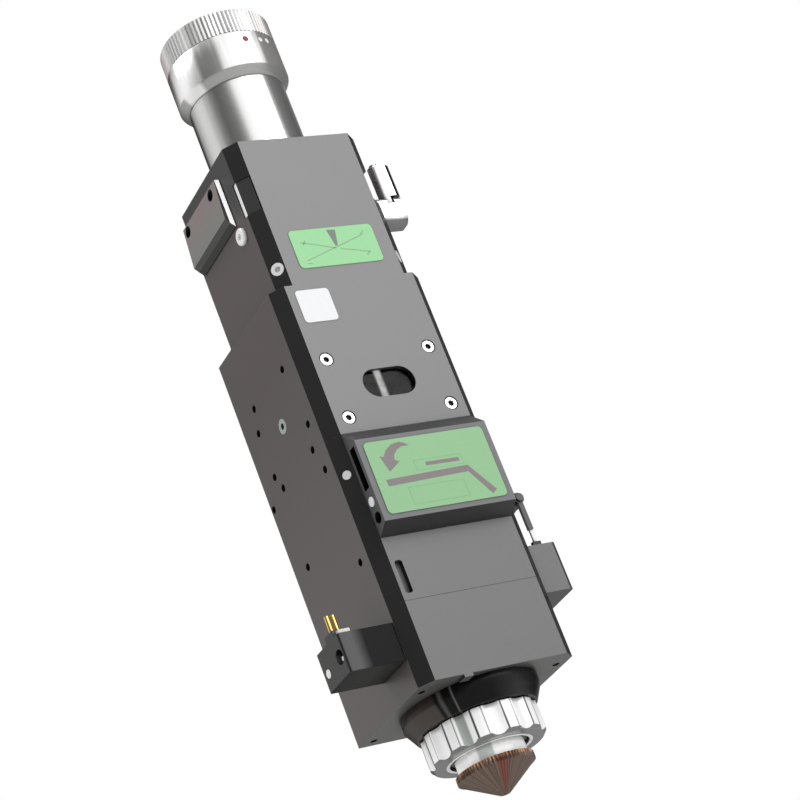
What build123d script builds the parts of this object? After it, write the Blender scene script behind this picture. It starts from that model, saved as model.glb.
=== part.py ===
from build123d import *
import os
from math import cos, radians, sin, sqrt

# Laser cutting head: fibre socket and collimator on top, motor-driven focus lens in the
# middle, protective window drawer and height-sensing nozzle below.
# Millimetres, +Z up, front towards -Y, origin at the nozzle tip on the beam axis.

os.makedirs("parts", exist_ok=True)

# Housing
body_width = 71.0
upper_width = 63.0
body_front = -31.3
body_back = 33.0
upper_back = 24.8
corner_cut = 5.2
body_bottom = 40.5
body_step = 216.2
body_top = 286.6
back_slope = 4.0
cover_seam = 74.1

# Beam path and running clearances
beam_radius = 15.0
slide_gap = 0.3
running_gap = 0.05
assembly_gap = 0.1

# Fibre collar and collimator tube
collar_radius = 25.0
collar_bottom = 325.9
collar_cone = 4.0
collar_height = 21.1
ring_height = 11.6
collar_neck_radius = 21.0
knurl_count = 84
knurl_depth = 0.45
ring_gap = 0.2
ring_chamfer = 0.8
plug_radius = 12.5
key_width = 3.0
key_depth = 8.0
key_reach = 2.0
circlip_thickness = 1.0
circlip_reach = 1.2
tube_radius = 21.6
tube_wall = 3.4
tube_bottom = 272.0
spigot_length = 12.0

# Front plate, focus window and labels
plate_bottom = 147.5
window_length = 24.0
window_height = 12.8
window_centre = 167.7
pane_thickness = 1.2
pane_sink = 2.0
pane_lip = 1.5
screw_spacing_x = 47.8
screw_spacing_z = 26.8
head_radius = 2.65
head_height = 1.7
head_hole_radius = 3.1
shank_radius = 1.5
shank_length = 9.0
hex_across = 2.5
label_thickness = 0.3
upper_label_size = (39.3, 18.0)
upper_label_centre = 232.3
blank_label_size = (15.4, 15.0)
blank_label_centre = (-19.1, 205.8)
cover_label_size = (55.0, 31.4)

# Upper window drawer on the left side
drawer_slot_z = 265.5
upper_tray_width = 26.0
upper_tray_height = 7.8
upper_tray_length = 50.0
upper_glass_radius = 11.0
upper_glass_thickness = 3.0
glass_lip = 1.5
grip_bottom = 255.6
grip_top = 278.8
grip_front = -15.4
grip_back = 23.4
grip_plate = 2.0
grip_reach = 4.0
grip_top_reach = 2.6
grip_chamfer = 4.1
grip_hole_radius = 2.6
grip_hole_z = 275.6
grip_hole_places = (-8.7, 19.4)
grip_hole_depth = 8.0
grip_neck_step = 0.5

# Drawer lock bar and the swinging flag on the right side
bar_bottom = 253.8
bar_height = 16.0
bar_back = -16.3
bar_recess = 0.4
bar_lip = 2.2
bar_right = 28.3
bar_tongue = 4.0
round_head_radius = 3.8
round_head_height = 1.4
strip_screw_place = (-16.6, 249.6)
flag_axis = (39.0, -21.2)
flag_bottom = 258.3
flag_top = 274.0
flag_barrel_radius = 3.0
flag_barrel_bottom = 255.0
flag_length = 6.2
flag_bevel = (2.5, 1.6)
flag_thickness = 3.0
flag_base_bottom = 244.6
flag_base_top = 256.8
flag_base_front = -24.2
flag_notch_gap = 0.5
flag_pin_seat = 2.0
flag_pin_head_height = 1.0
flag_pin_head_reach = 0.8
flag_screw_place = (-20.6, 248.2)
flag_base_reach = 12.5
flag_base_depth = 7.4
flag_base_fillet = 3.4
hinge_pin_radius = 1.0
bar_travel = 1.0

# Collimator lens and its centring screws
centring_z = 225.8
centring_cavity_radius = 22.4
centring_cavity_top = 236.0
frame_radius = 21.4
frame_wall = 3.0
cell_radius = 17.4
collimator_glass_radius = 14.0
collimator_glass_thickness = 5.0
collimator_glass_bulge = 1.4
lens_ring_height = 2.0
centring_screw_radius = 2.8
centring_screw_sink = 0.1
centring_head_length = 5.0
centring_stem_radius = 1.5
centring_hole_radius = 3.1
frame_floor = 2.2

# Focus drive
focus_bore_radius = 19.0
focus_bore_bottom = 100.0
carriage_radius = 18.5
carriage_wall = 3.3
carriage_height = 40.0
carriage_centre = 167.7
lug_height = 10.0
lug_half_width = 23.5
lug_front = 15.0
lug_back = 28.0
pocket_half_width = 25.5
pocket_bottom = 134.0
pocket_top = 207.0
pocket_front = 12.0
back_cover_thickness = 4.0
back_cover_margin = 3.0
back_cover_rim = 8.2
back_screw_x = 44.0
web_bottom = 186.0
web_thickness = 4.0
nut_flange_height = 2.0
motor_screw_depth = 6.0
index_screw_length = 2.0
connector_flange_height = 2.0
side_gap = 0.3
rod_radius = 2.5
rod_places = ((-16.5, 21.0), (0.0, 24.2))
rod_seat = 5.0
screw_place = (16.5, 21.0)
lead_screw_radius = 2.5
nut_radius = 4.5
motor_radius = 7.4
motor_height = 13.0
motor_block_height = 3.0
motor_block_width = 8.0
journal_depth = 4.0
focus_glass_thickness = 6.0
focus_glass_bulge = 1.8
index_screw_place = (4.2, 169.0)
index_screw_radius = 1.6
connector_radius = 6.0
connector_flange = 15.0
connector_place = (12.0, 238.0)
connector_length = 8.0

# Raised cover over the middle of the front
raised_bottom = 101.2
raised_top = 147.3
raised_height = 7.6
upper_slope = 6.6
lower_slope = 3.7
side_cut_depth = 3.5
cover_side_y = -35.0
side_slot_z = (120.7, 139.0)
side_slot_width = 4.0
cover_lamp_z = 115.3
cover_lamp_radius = 2.0
lamp_proud = 0.4
front_slot_depth = 2.4
cover_hole_z = 108.3
cover_hole_radius = 2.4
front_slot_size = (3.4, 14.0)
front_slot_place = (-26.8, 84.0)
tab_width = 4.0
tab_place = -15.4
tab_depth = 1.2

# Protective window drawer on the right side
drawer_centre_z = 79.5
tray_width = 44.0
tray_height = 10.4
tray_tail = 25.0
glass_radius = 18.0
glass_thickness = 5.0
seal_thickness = 1.0
tray_floor = 1.6
handle_screw_y = 14.0
handle_fillet = 2.0
cap_head_radius = 2.6
cap_head_height = 2.4
retainer_height = 2.2
handle_width = 46.0
handle_bottom = 69.5
handle_height = 21.0
handle_reach = 15.4
handle_gap = 0.3
catch_size = 3.9
catch_height = 1.5

# Catch lever above the drawer handle
catch_place = (42.7, 111.8)
catch_front = -22.9
catch_depth = 1.6
catch_strip = 2.2
catch_bottom = 97.6
bracket_bottom = 109.4
bracket_height = 5.6
bracket_depth = 10.0
catch_bracket_face = 44.4
catch_screw_inset = 3.3
catch_barrel_radius = 2.4
catch_tip = 1.2
catch_tip_depth = 1.0
catch_pin_seat = 3.2
bracket_screw_hold = 7.0

# Hole patterns of the main body
side_hole_radius = 1.65
side_hole_depth = 8.0
side_rectangle = (32.6, 37.2)
side_pattern_z = 168.5
dowel_pair = (39.9, 17.8)
dowel_pair_z = (168.5, 147.9, 106.5)
edge_hole_place = (30.8, 146.9)
back_spacing_x = 63.0
back_spacing_z = 100.0
back_pattern_z = 122.0
back_hole_radius = 2.1
back_hole_depth = 12.0
bottom_spacing_x = 62.0
bottom_hole_front = -20.0
bottom_hole_back = 27.5
bottom_hole_radius = 1.65
bottom_hole_depth = 10.0
gas_port_radius = 4.3
gas_port_x = 10.0
gas_port_z = 56.0
gas_port_depth = 10.0
gas_channel_radius = 2.0
gas_channel_length = 13.0
side_screw_place = (0.3, 169.4)
side_screw_length = 6.0
side_screw_head_radius = 3.2
side_screw_head_height = 2.2
channel_plug_length = 6.0
channel_plug_sink = 0.1
channel_plug_z = 130.9
channel_plug_radius = 1.9

# Sensor block, ceramic ring, lock nut and nozzle
sensor_top_radius = 28.7
sensor_band = 4.0
sensor_bottom = 30.4
sensor_cone = 3.5
sensor_thread_radius = 20.0
sensor_thread_depth = 8.0
nut_top = 30.0
nut_bottom = 17.0
nut_outer_radius = 24.1
nut_wall = 1.8
nut_chamfer = 1.4
scallop_count = 12
scallop_radius = 6.2
scallop_depth = 1.2
scallop_phase = 15.0
nut_opening_radius = 16.5
nut_floor = 3.0
ceramic_flange = 4.0
ceramic_neck_radius = 16.0
holder_radius = 14.4
holder_bottom = 11.9
holder_top = 33.0
flat_across = 26.6
nozzle_radius = 16.2
nozzle_knurl_count = 60
nozzle_knurl_depth = 0.5
nozzle_knurl_bottom = 9.1
nozzle_tip_radius = 2.2
orifice_radius = 0.75
nozzle_bore_radius = 5.0
nozzle_stem_radius = 7.0
nozzle_stem_height = 8.0
orifice_land = 2.0
sensor_bore = 15.0
ceramic_bottom = 18.3
holder_stem_radius = 9.5
holder_bore = 6.0

# Connector box on the left side
box_reach = 24.5
box_front = -25.5
box_back = -4.0
box_bottom = 52.5
box_height = 16.0
box_fillet = 1.5
pin_radius = 1.0
pin_height = 9.7
pin_insets = (1.9, 4.5)
pin_y = -18.8
header_height = 2.5
header_reach = 6.4
header_half_width = 3.6
pad_width = 2.4
pad_height = 1.6
socket_radius = 3.0
socket_place = (-21.3, 60.3)
contact_place = (-21.8, 59.4)
contact_radius = 0.9
socket_depth = 6.0
pin_seat = 4.0
box_screw_place = (-8.7, 59.0)
box_screw_head_radius = 1.8
box_screw_head_height = 2.0

# Places worked out from the sizes above
collar_split = collar_bottom + collar_height
collar_top = collar_split + ring_height
body_half = body_width / 2
upper_half = upper_width / 2
plate_back = body_front + corner_cut
side_centre_y = (body_front + body_back) / 2
bar_top = bar_bottom + bar_height
cover_front = body_front - raised_height
diagonal = sqrt(0.5)
chamfer_x = body_half - corner_cut / 2
chamfer_y = body_front + corner_cut / 2
upper_seat = drawer_slot_z - upper_tray_height / 2 + 1.8
tray_seat = drawer_centre_z - tray_height / 2 + tray_floor
catch_back = catch_front + catch_depth
catch_screw_y = catch_back + slide_gap + bracket_depth - catch_screw_inset
plate_screw_hold = shank_length + head_height - corner_cut + 0.5
bar_half = upper_half - bar_recess
bar_slot_back = bar_back + slide_gap
bar_slot_front = plate_back + slide_gap
bar_front = body_front + 0.7
bar_near = upper_half - corner_cut + slide_gap
bar_line = bar_near - bar_front
bar_lip_back = -bar_line + bar_half + bar_lip
bar_plan = [
    (-bar_near, bar_back),
    (-bar_near, bar_lip_back),
    (-bar_half, bar_lip_back),
    (-bar_half, bar_half - bar_line),
    (-bar_near, bar_front),
    (-bar_near, bar_slot_front),
    (bar_right, bar_slot_front),
    (bar_right, bar_back - bar_tongue),
    (bar_half, bar_back - bar_tongue),
    (bar_half, bar_back),
]


def save(builder, name):
    """Labels a finished piece and writes it as its own file."""
    builder.part.label = name
    export_step(builder.part, f"parts/{name}.step")


def plate_section(half_width):
    """Plan of a front plate, as thick as its cut side edges are deep."""
    return [(-half_width, plate_back), (-half_width + corner_cut, body_front),
            (half_width - corner_cut, body_front), (half_width, plate_back)]


def block(x0, x1, y0, y1, z0, z1, mode=Mode.ADD):
    """A box from its lowest to its highest corner, inside a part block."""
    with Locations(((x0 + x1) / 2, (y0 + y1) / 2, (z0 + z1) / 2)):
        Box(x1 - x0, y1 - y0, z1 - z0, mode=mode)


def disc(x, y, z0, z1, radius, mode=Mode.ADD):
    """An upright cylinder from z0 to z1, inside a part block."""
    with Locations((x, y, (z0 + z1) / 2)):
        Cylinder(radius, z1 - z0, mode=mode)


def rod(start, direction, radius, length, mode=Mode.ADD):
    """A cylinder from a start point along a direction, inside a part block."""
    with BuildSketch(Plane(origin=start, z_dir=direction)) as section:
        Circle(radius)
    extrude(section.sketch, amount=length, mode=mode)


def hex_socket(start, direction, depth):
    """A hexagon socket cut from a start point along a direction."""
    with BuildSketch(Plane(origin=start, z_dir=direction)) as section:
        RegularPolygon(hex_across / 2, 6, major_radius=False)
    extrude(section.sketch, amount=depth, mode=Mode.SUBTRACT)


def turned(points, mode=Mode.ADD):
    """A solid turned about the beam axis from radius and height pairs."""
    with BuildSketch(Plane.XZ) as profile:
        with BuildLine():
            Polyline(*points, close=True)
        make_face()
    revolve(profile.sketch, axis=Axis.Z, mode=mode)


def tube(outer, inner, z0, z1):
    """A plain ring about the beam axis."""
    turned([(inner, z0), (outer, z0), (outer, z1), (inner, z1)])


def knurled_outline(radius, depth, count):
    """Outline of a straight-knurled rim: one V-shaped tooth per pitch."""
    points = []
    for tooth in range(count):
        for share, reach in ((0.0, radius), (0.45, radius - depth), (0.55, radius - depth)):
            angle = radians(360 * (tooth + share) / count)
            points.append((reach * cos(angle), reach * sin(angle)))
    return points


def lens(radius, z_mid, thickness, bulge):
    """A biconvex lens about the beam axis, inside a part block."""
    ball_radius = (radius ** 2 + bulge ** 2) / (2 * bulge)
    disc(0, 0, z_mid - thickness / 2, z_mid + thickness / 2, radius)
    for side in (-1, 1):
        with Locations((0, 0, z_mid + side * (thickness / 2 - ball_radius))):
            Sphere(ball_radius, mode=Mode.INTERSECT)


def seat_rise(radius, bulge):
    """How far a lens face stands above its rim where the seat's lip ends."""
    return bulge * (1 - ((radius - glass_lip) / radius) ** 2)


# Fibre socket at the top of the head
tube_bore = tube_radius - tube_wall
ring_top_seat = collar_top - 2 * circlip_thickness

with BuildPart() as fibre_socket:
    turned([
        (plug_radius, collar_bottom - spigot_length),
        (tube_bore, collar_bottom - spigot_length),
        (tube_bore, collar_bottom),
        (tube_radius + 0.4, collar_bottom),
        (collar_radius, collar_bottom + collar_cone),
        (collar_radius, collar_split - ring_gap),
        (collar_neck_radius, collar_split - ring_gap),
        (collar_neck_radius, ring_top_seat),
        (collar_neck_radius - circlip_reach, ring_top_seat),
        (collar_neck_radius - circlip_reach, ring_top_seat + circlip_thickness),
        (collar_neck_radius, ring_top_seat + circlip_thickness),
        (collar_neck_radius, collar_top),
        (plug_radius, collar_top),
    ])
    with Locations((0, 0, collar_top - key_depth / 2)):
        Box(2 * plug_radius + 2 * key_reach, key_width, key_depth, mode=Mode.SUBTRACT)
save(fibre_socket, "fibre_socket")

with BuildPart() as fibre_lock_ring:
    with BuildSketch(Plane.XY.offset(collar_split)):
        Polygon(*knurled_outline(collar_radius, knurl_depth, knurl_count), align=None)
        Circle(collar_neck_radius + running_gap, mode=Mode.SUBTRACT)
    extrude(amount=collar_top - collar_split)
    turned([
        (collar_neck_radius + running_gap - 1, ring_top_seat - 0.3),
        (collar_neck_radius + circlip_reach + slide_gap, ring_top_seat - 0.3),
        (collar_neck_radius + circlip_reach + slide_gap, collar_top + 1),
        (collar_neck_radius + running_gap - 1, collar_top + 1),
    ], mode=Mode.SUBTRACT)
    turned([
        (collar_radius - ring_chamfer, collar_top),
        (collar_radius + ring_chamfer, collar_top - 2 * ring_chamfer),
        (collar_radius + ring_chamfer, collar_top),
    ], mode=Mode.SUBTRACT)
save(fibre_lock_ring, "fibre_lock_ring")

with BuildPart() as lock_ring_circlip:
    tube(collar_neck_radius + circlip_reach, collar_neck_radius - circlip_reach,
         ring_top_seat, ring_top_seat + circlip_thickness)
    block(0, collar_radius, -2.5, 2.5, ring_top_seat - 1, collar_top + 1, Mode.SUBTRACT)
save(lock_ring_circlip, "lock_ring_circlip")

with BuildPart() as collimator_tube:
    tube(tube_radius, tube_bore, tube_bottom, collar_bottom)
save(collimator_tube, "collimator_tube")

# Upper body
upper_tray_bottom = drawer_slot_z - upper_tray_height / 2
upper_tray_top = drawer_slot_z + upper_tray_height / 2

with BuildPart() as upper_body:
    block(-upper_half, upper_half, plate_back, upper_back, body_step, body_top)
    with BuildSketch(Plane.YZ):
        Polygon((upper_back, body_step), (body_back, body_step),
                (upper_back, body_step + back_slope), align=None)
    extrude(amount=upper_half, both=True)
    disc(0, 0, tube_bottom, body_top, tube_radius, Mode.SUBTRACT)
    disc(0, 0, body_step, tube_bottom, beam_radius, Mode.SUBTRACT)
    disc(0, 0, body_step, centring_cavity_top, centring_cavity_radius, Mode.SUBTRACT)
    block(-upper_half, upper_tray_length - upper_half + 1,
          -upper_tray_width / 2 - slide_gap, upper_tray_width / 2 + slide_gap,
          upper_tray_bottom - slide_gap, upper_tray_top + slide_gap, Mode.SUBTRACT)
    block(-bar_near - bar_travel - slide_gap, upper_half, plate_back, bar_slot_back,
          bar_bottom - slide_gap, bar_top + slide_gap, Mode.SUBTRACT)
    block(-upper_half, -bar_near, plate_back, bar_lip_back + slide_gap,
          bar_bottom - slide_gap, bar_top + slide_gap, Mode.SUBTRACT)
    for y in grip_hole_places:
        rod((-upper_half, y, grip_hole_z), (1, 0, 0), shank_radius, grip_hole_depth, Mode.SUBTRACT)
    for side in (-1, 1):
        rod((0, 0, centring_z), (side, -1, 0), centring_hole_radius, body_width, Mode.SUBTRACT)
    rod((-upper_half, strip_screw_place[0], strip_screw_place[1]), (1, 0, 0),
        shank_radius, shank_length, Mode.SUBTRACT)
    rod((upper_half, flag_screw_place[0], flag_screw_place[1]), (-1, 0, 0),
        shank_radius, bracket_screw_hold, Mode.SUBTRACT)
save(upper_body, "upper_body")

# Front plate, one T-shaped piece over both bodies
with BuildPart() as front_plate:
    with BuildSketch(Plane.XY.offset(body_step)):
        Polygon(*plate_section(upper_half), align=None)
    extrude(amount=body_top - body_step)
    with BuildSketch(Plane.XY.offset(plate_bottom)):
        Polygon(*plate_section(body_half), align=None)
    extrude(amount=body_step - plate_bottom)
    for side in (-1, 1):
        block(side * (upper_half - corner_cut / 2) - corner_cut / 2,
              side * (upper_half - corner_cut / 2) + corner_cut / 2, body_front, plate_back,
              bar_bottom - slide_gap, bar_top + slide_gap, Mode.SUBTRACT)
        rod((0, 0, centring_z), (side, -1, 0), centring_hole_radius, body_width, Mode.SUBTRACT)
    with BuildSketch(Plane.XZ.offset(-plate_back)):
        with Locations((0, window_centre)):
            SlotOverall(window_length, window_height)
    extrude(amount=corner_cut, mode=Mode.SUBTRACT)
    with BuildSketch(Plane.XZ.offset(-plate_back)):
        with Locations((0, window_centre)):
            SlotOverall(window_length + 2 * pane_lip, window_height + 2 * pane_lip)
    extrude(amount=corner_cut - pane_sink, mode=Mode.SUBTRACT)
    with BuildSketch(Plane.XZ.offset(-body_front)):
        with Locations((0, window_centre)):
            with GridLocations(screw_spacing_x, screw_spacing_z, 2, 2):
                Circle(head_hole_radius)
    extrude(amount=-head_height, mode=Mode.SUBTRACT)
    with BuildSketch(Plane.XZ.offset(-body_front)):
        with Locations((0, window_centre)):
            with GridLocations(screw_spacing_x, screw_spacing_z, 2, 2):
                Circle(shank_radius)
    extrude(amount=-corner_cut, mode=Mode.SUBTRACT)
save(front_plate, "front_plate")

with BuildPart() as focus_window:
    with BuildSketch(Plane.XZ.offset(-body_front - pane_sink)):
        with Locations((0, window_centre)):
            SlotOverall(window_length + 2 * pane_lip - assembly_gap,
                        window_height + 2 * pane_lip - assembly_gap)
    extrude(amount=-pane_thickness)
save(focus_window, "focus_window")


def label(size, place, face_y, radius):
    """A thin rounded label on a front face."""
    with BuildSketch(Plane.XZ.offset(-face_y)) as outline:
        with Locations(place):
            RectangleRounded(size[0], size[1], radius)
    extrude(outline.sketch, amount=label_thickness)


with BuildPart() as upper_label:
    label(upper_label_size, (0, upper_label_centre), body_front, 2.0)
save(upper_label, "upper_label")

with BuildPart() as blank_label:
    label(blank_label_size, blank_label_centre, body_front, 1.6)
save(blank_label, "blank_label")

# Button-head screws of the front plate and of the back cover
back_cover_face = body_back
back_cover_half = pocket_half_width + back_cover_margin
back_cover_bottom = pocket_bottom - back_cover_rim
back_cover_top = pocket_top + back_cover_rim
back_centre = (back_cover_top + back_cover_bottom) / 2
back_screw_z = back_cover_top - back_cover_bottom - back_cover_rim + 1


def button_screw(face_y, facing):
    """One socket button-head screw whose head lies just under a face."""
    seat = face_y - facing * head_height
    rod((0, seat, 0), (0, facing, 0), head_radius, head_height - 0.2)
    rod((0, seat, 0), (0, -facing, 0), shank_radius, shank_length)
    hex_socket((0, seat + facing * head_height, 0), (0, -facing, 0), head_height - 0.4)


with BuildPart() as front_screw:
    button_screw(body_front, -1)
with BuildPart() as back_screw:
    button_screw(back_cover_face, 1)
with BuildPart() as cover_screws:
    with Locations(*[(x, 0, window_centre + z) for x in (-screw_spacing_x / 2, screw_spacing_x / 2)
                     for z in (-screw_spacing_z / 2, screw_spacing_z / 2)]):
        add(front_screw.part)
    with Locations(*[(x, 0, back_centre + z) for x in (-back_screw_x / 2, back_screw_x / 2)
                     for z in (-back_screw_z / 2, back_screw_z / 2)]):
        add(back_screw.part)
save(cover_screws, "cover_screws")

# Main body with the focus bore, the drive pocket and the drawer slot
drawer_bottom = drawer_centre_z - tray_height / 2
drawer_top = drawer_centre_z + tray_height / 2
slot_roof = drawer_top + slide_gap
sensor_thread_top = body_bottom + sensor_thread_depth
web_top = web_bottom + web_thickness
rod_bottom = pocket_bottom - rod_seat
back_pocket = body_back - back_cover_thickness

with BuildPart() as main_body:
    block(-body_half, body_half, plate_back, body_back, body_bottom, body_step)
    disc(0, 0, focus_bore_bottom, body_step, focus_bore_radius, Mode.SUBTRACT)
    disc(0, 0, body_bottom, focus_bore_bottom, beam_radius, Mode.SUBTRACT)
    disc(0, 0, body_bottom, sensor_thread_top, sensor_thread_radius, Mode.SUBTRACT)
    block(-tray_tail - 1, body_half, -tray_width / 2 - slide_gap, tray_width / 2 + slide_gap,
          drawer_bottom - slide_gap, slot_roof, Mode.SUBTRACT)
    block(-pocket_half_width, pocket_half_width, pocket_front, back_pocket,
          pocket_bottom, web_bottom, Mode.SUBTRACT)
    block(-pocket_half_width, pocket_half_width, pocket_front, back_pocket,
          web_top, pocket_top, Mode.SUBTRACT)
    block(-back_cover_half, back_cover_half, back_pocket, body_back,
          back_cover_bottom, back_cover_top, Mode.SUBTRACT)
    for x, y in rod_places:
        disc(x, y, rod_bottom, web_top, rod_radius, Mode.SUBTRACT)
    disc(screw_place[0], screw_place[1], web_bottom, web_top,
         lead_screw_radius + slide_gap, Mode.SUBTRACT)
    disc(screw_place[0], screw_place[1], pocket_bottom - journal_depth, pocket_bottom,
         lead_screw_radius + running_gap, Mode.SUBTRACT)
    with BuildSketch(Plane.XZ.offset(-plate_back)):
        with Locations((0, window_centre)):
            SlotOverall(window_length, window_height)
    extrude(amount=plate_back, mode=Mode.SUBTRACT)
    with BuildSketch(Plane.XZ.offset(-plate_back)):
        with Locations((0, window_centre)):
            with GridLocations(screw_spacing_x, screw_spacing_z, 2, 2):
                Circle(shank_radius)
    extrude(amount=-plate_screw_hold, mode=Mode.SUBTRACT)
    with BuildSketch(Plane.XZ.offset(-back_pocket)):
        with Locations((0, back_centre)):
            with GridLocations(back_screw_x, back_screw_z, 2, 2):
                Circle(shank_radius)
    extrude(amount=shank_length, mode=Mode.SUBTRACT)
    for side in (-1, 1):
        wall = Plane(origin=(side * body_half, side_centre_y, 0), x_dir=(0, 1, 0), z_dir=(side, 0, 0))
        with BuildSketch(wall):
            with Locations((0, side_pattern_z * side)):
                with GridLocations(side_rectangle[0], side_rectangle[1], 2, 2):
                    Circle(side_hole_radius)
            for height in dowel_pair_z:
                with Locations((dowel_pair[0] / 2, (height + dowel_pair[1] / 2) * side),
                               (-dowel_pair[0] / 2, (height - dowel_pair[1] / 2) * side)):
                    Circle(side_hole_radius)
            with Locations((edge_hole_place[0] - side_centre_y, edge_hole_place[1] * side)):
                Circle(side_hole_radius)
        extrude(amount=-side_hole_depth, mode=Mode.SUBTRACT)
        side_screw_start = (side * body_half, side_screw_place[0], side_screw_place[1])
        rod(side_screw_start, (-side, 0, 0), shank_radius, side_screw_length, Mode.SUBTRACT)
        rod(side_screw_start, (-side, 0, 0), side_screw_head_radius + assembly_gap,
            side_screw_head_height, Mode.SUBTRACT)
        rod((side * chamfer_x, chamfer_y, channel_plug_z), (-side, 1, 0),
            channel_plug_radius, channel_plug_length, Mode.SUBTRACT)
    rod((body_half, catch_screw_y, catch_place[1]), (-1, 0, 0), shank_radius,
        bracket_screw_hold, Mode.SUBTRACT)
    rod((-body_half, box_screw_place[0], box_screw_place[1]), (1, 0, 0), shank_radius,
        shank_length, Mode.SUBTRACT)
    with BuildSketch(Plane.XZ.offset(-body_back)):
        with Locations((0, back_pattern_z)):
            with GridLocations(back_spacing_x, back_spacing_z, 2, 2):
                Circle(back_hole_radius)
    extrude(amount=back_hole_depth, mode=Mode.SUBTRACT)
    for x in (-gas_port_x, gas_port_x):
        rod((x, body_back, gas_port_z), (0, -1, 0), gas_port_radius, gas_port_depth, Mode.SUBTRACT)
        rod((x, body_back - gas_port_depth, gas_port_z), (0, -1, 0),
            gas_channel_radius, gas_channel_length, Mode.SUBTRACT)
    for y in (bottom_hole_front, bottom_hole_back):
        for side in (-1, 1):
            rod((side * bottom_spacing_x / 2, y, body_bottom), (0, 0, 1),
                bottom_hole_radius, bottom_hole_depth, Mode.SUBTRACT)
save(main_body, "main_body")

with BuildPart() as back_cover:
    block(-back_cover_half + assembly_gap, back_cover_half - assembly_gap, back_pocket, body_back,
          back_cover_bottom + assembly_gap, back_cover_top - assembly_gap)
    with BuildSketch(Plane.XZ.offset(-body_back)):
        with Locations((0, back_centre)):
            with GridLocations(back_screw_x, back_screw_z, 2, 2):
                Circle(head_hole_radius)
    extrude(amount=head_height, mode=Mode.SUBTRACT)
    with BuildSketch(Plane.XZ.offset(-body_back)):
        with Locations((0, back_centre)):
            with GridLocations(back_screw_x, back_screw_z, 2, 2):
                Circle(shank_radius)
    extrude(amount=back_cover_thickness, mode=Mode.SUBTRACT)
save(back_cover, "back_cover")

# Front covers of the main body
with BuildPart() as mid_front_cover:
    with BuildSketch(Plane.XY.offset(cover_seam)):
        Polygon(*plate_section(body_half), align=None)
    extrude(amount=plate_bottom - assembly_gap - cover_seam)
    with BuildSketch(Plane.XZ.offset(-body_front)):
        with Locations(front_slot_place):
            RectangleRounded(front_slot_size[0], front_slot_size[1], front_slot_size[0] / 3)
    extrude(amount=-front_slot_depth, mode=Mode.SUBTRACT)
    for side in (-1, 1):
        rod((side * chamfer_x, chamfer_y, channel_plug_z), (-side, 1, 0),
            channel_plug_radius, channel_plug_length, Mode.SUBTRACT)
save(mid_front_cover, "mid_front_cover")

with BuildPart() as lower_front_cover:
    with BuildSketch(Plane.XY.offset(body_bottom)):
        Polygon(*plate_section(body_half), align=None)
    extrude(amount=cover_seam - assembly_gap - body_bottom)
    block(tab_place - tab_width / 2, tab_place + tab_width / 2, body_front, plate_back,
          body_bottom - tab_depth, body_bottom)
save(lower_front_cover, "lower_front_cover")

cover_half = body_half - corner_cut
with BuildPart() as raised_cover:
    with BuildSketch(Plane.YZ):
        Polygon((body_front, raised_bottom), (cover_front, raised_bottom + lower_slope),
                (cover_front, raised_top - upper_slope), (body_front, raised_top), align=None)
    extrude(amount=cover_half, both=True)
    block(-cover_half, -cover_half + side_cut_depth, cover_side_y - side_slot_width / 2,
          cover_side_y + side_slot_width / 2, side_slot_z[0], side_slot_z[1], Mode.SUBTRACT)
    rod((-cover_half, cover_side_y, cover_lamp_z), (1, 0, 0), cover_lamp_radius,
        side_cut_depth, Mode.SUBTRACT)
    rod((-cover_half, cover_side_y, cover_hole_z), (1, 0, 0), cover_hole_radius,
        side_cut_depth, Mode.SUBTRACT)
save(raised_cover, "raised_cover")

with BuildPart() as cover_label:
    label(cover_label_size, (0, raised_bottom + lower_slope + 18.0), cover_front, 2.0)
save(cover_label, "cover_label")

with BuildPart() as status_lamp:
    rod((-cover_half - lamp_proud, cover_side_y, cover_lamp_z), (1, 0, 0), cover_lamp_radius,
        side_cut_depth + lamp_proud)
save(status_lamp, "status_lamp")

# Screws on the side walls and the cut corners
with BuildPart() as side_screws:
    for side in (-1, 1):
        start = (side * body_half, side_screw_place[0], side_screw_place[1])
        rod(start, (-side, 0, 0), side_screw_head_radius, side_screw_head_height)
        rod(start, (-side, 0, 0), shank_radius, side_screw_length)
        hex_socket(start, (-side, 0, 0), side_screw_head_height - 0.5)
save(side_screws, "side_screws")

with BuildPart() as channel_plugs:
    for side in (-1, 1):
        start = (side * (chamfer_x - channel_plug_sink), chamfer_y + channel_plug_sink,
                 channel_plug_z)
        rod(start, (-side, 1, 0), channel_plug_radius,
            channel_plug_length - 2 * channel_plug_sink)
save(channel_plugs, "channel_plugs")

# Centring of the collimator lens
frame_bottom = body_step + slide_gap
frame_top = centring_cavity_top - slide_gap
frame_inner = frame_radius - frame_wall
cell_bottom = frame_bottom + frame_floor + slide_gap
cell_top = frame_top

with BuildPart() as centring_frame:
    tube(frame_radius, frame_inner, frame_bottom, frame_top)
    tube(frame_inner + 0.1, beam_radius, frame_bottom, frame_bottom + frame_floor)
    for side in (-1, 1):
        rod((0, 0, centring_z), (side, -1, 0), centring_stem_radius + running_gap,
            frame_radius + 1, Mode.SUBTRACT)
save(centring_frame, "centring_frame")

lens_floor = cell_bottom + 2
collimator_rise = seat_rise(collimator_glass_radius, collimator_glass_bulge)
collimator_mid = (lens_floor + collimator_rise + collimator_glass_thickness / 2
                  - collimator_glass_bulge)
with BuildPart() as collimator_cell:
    tube(cell_radius, collimator_glass_radius, cell_bottom, cell_top)
    tube(collimator_glass_radius + 0.1, collimator_glass_radius - glass_lip, cell_bottom, lens_floor)
    rod((cell_radius * diagonal, -cell_radius * diagonal, centring_z), (-1, 1, 0),
        centring_stem_radius + running_gap, cell_radius - collimator_glass_radius - 0.8, Mode.SUBTRACT)
save(collimator_cell, "collimator_cell")

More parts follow.
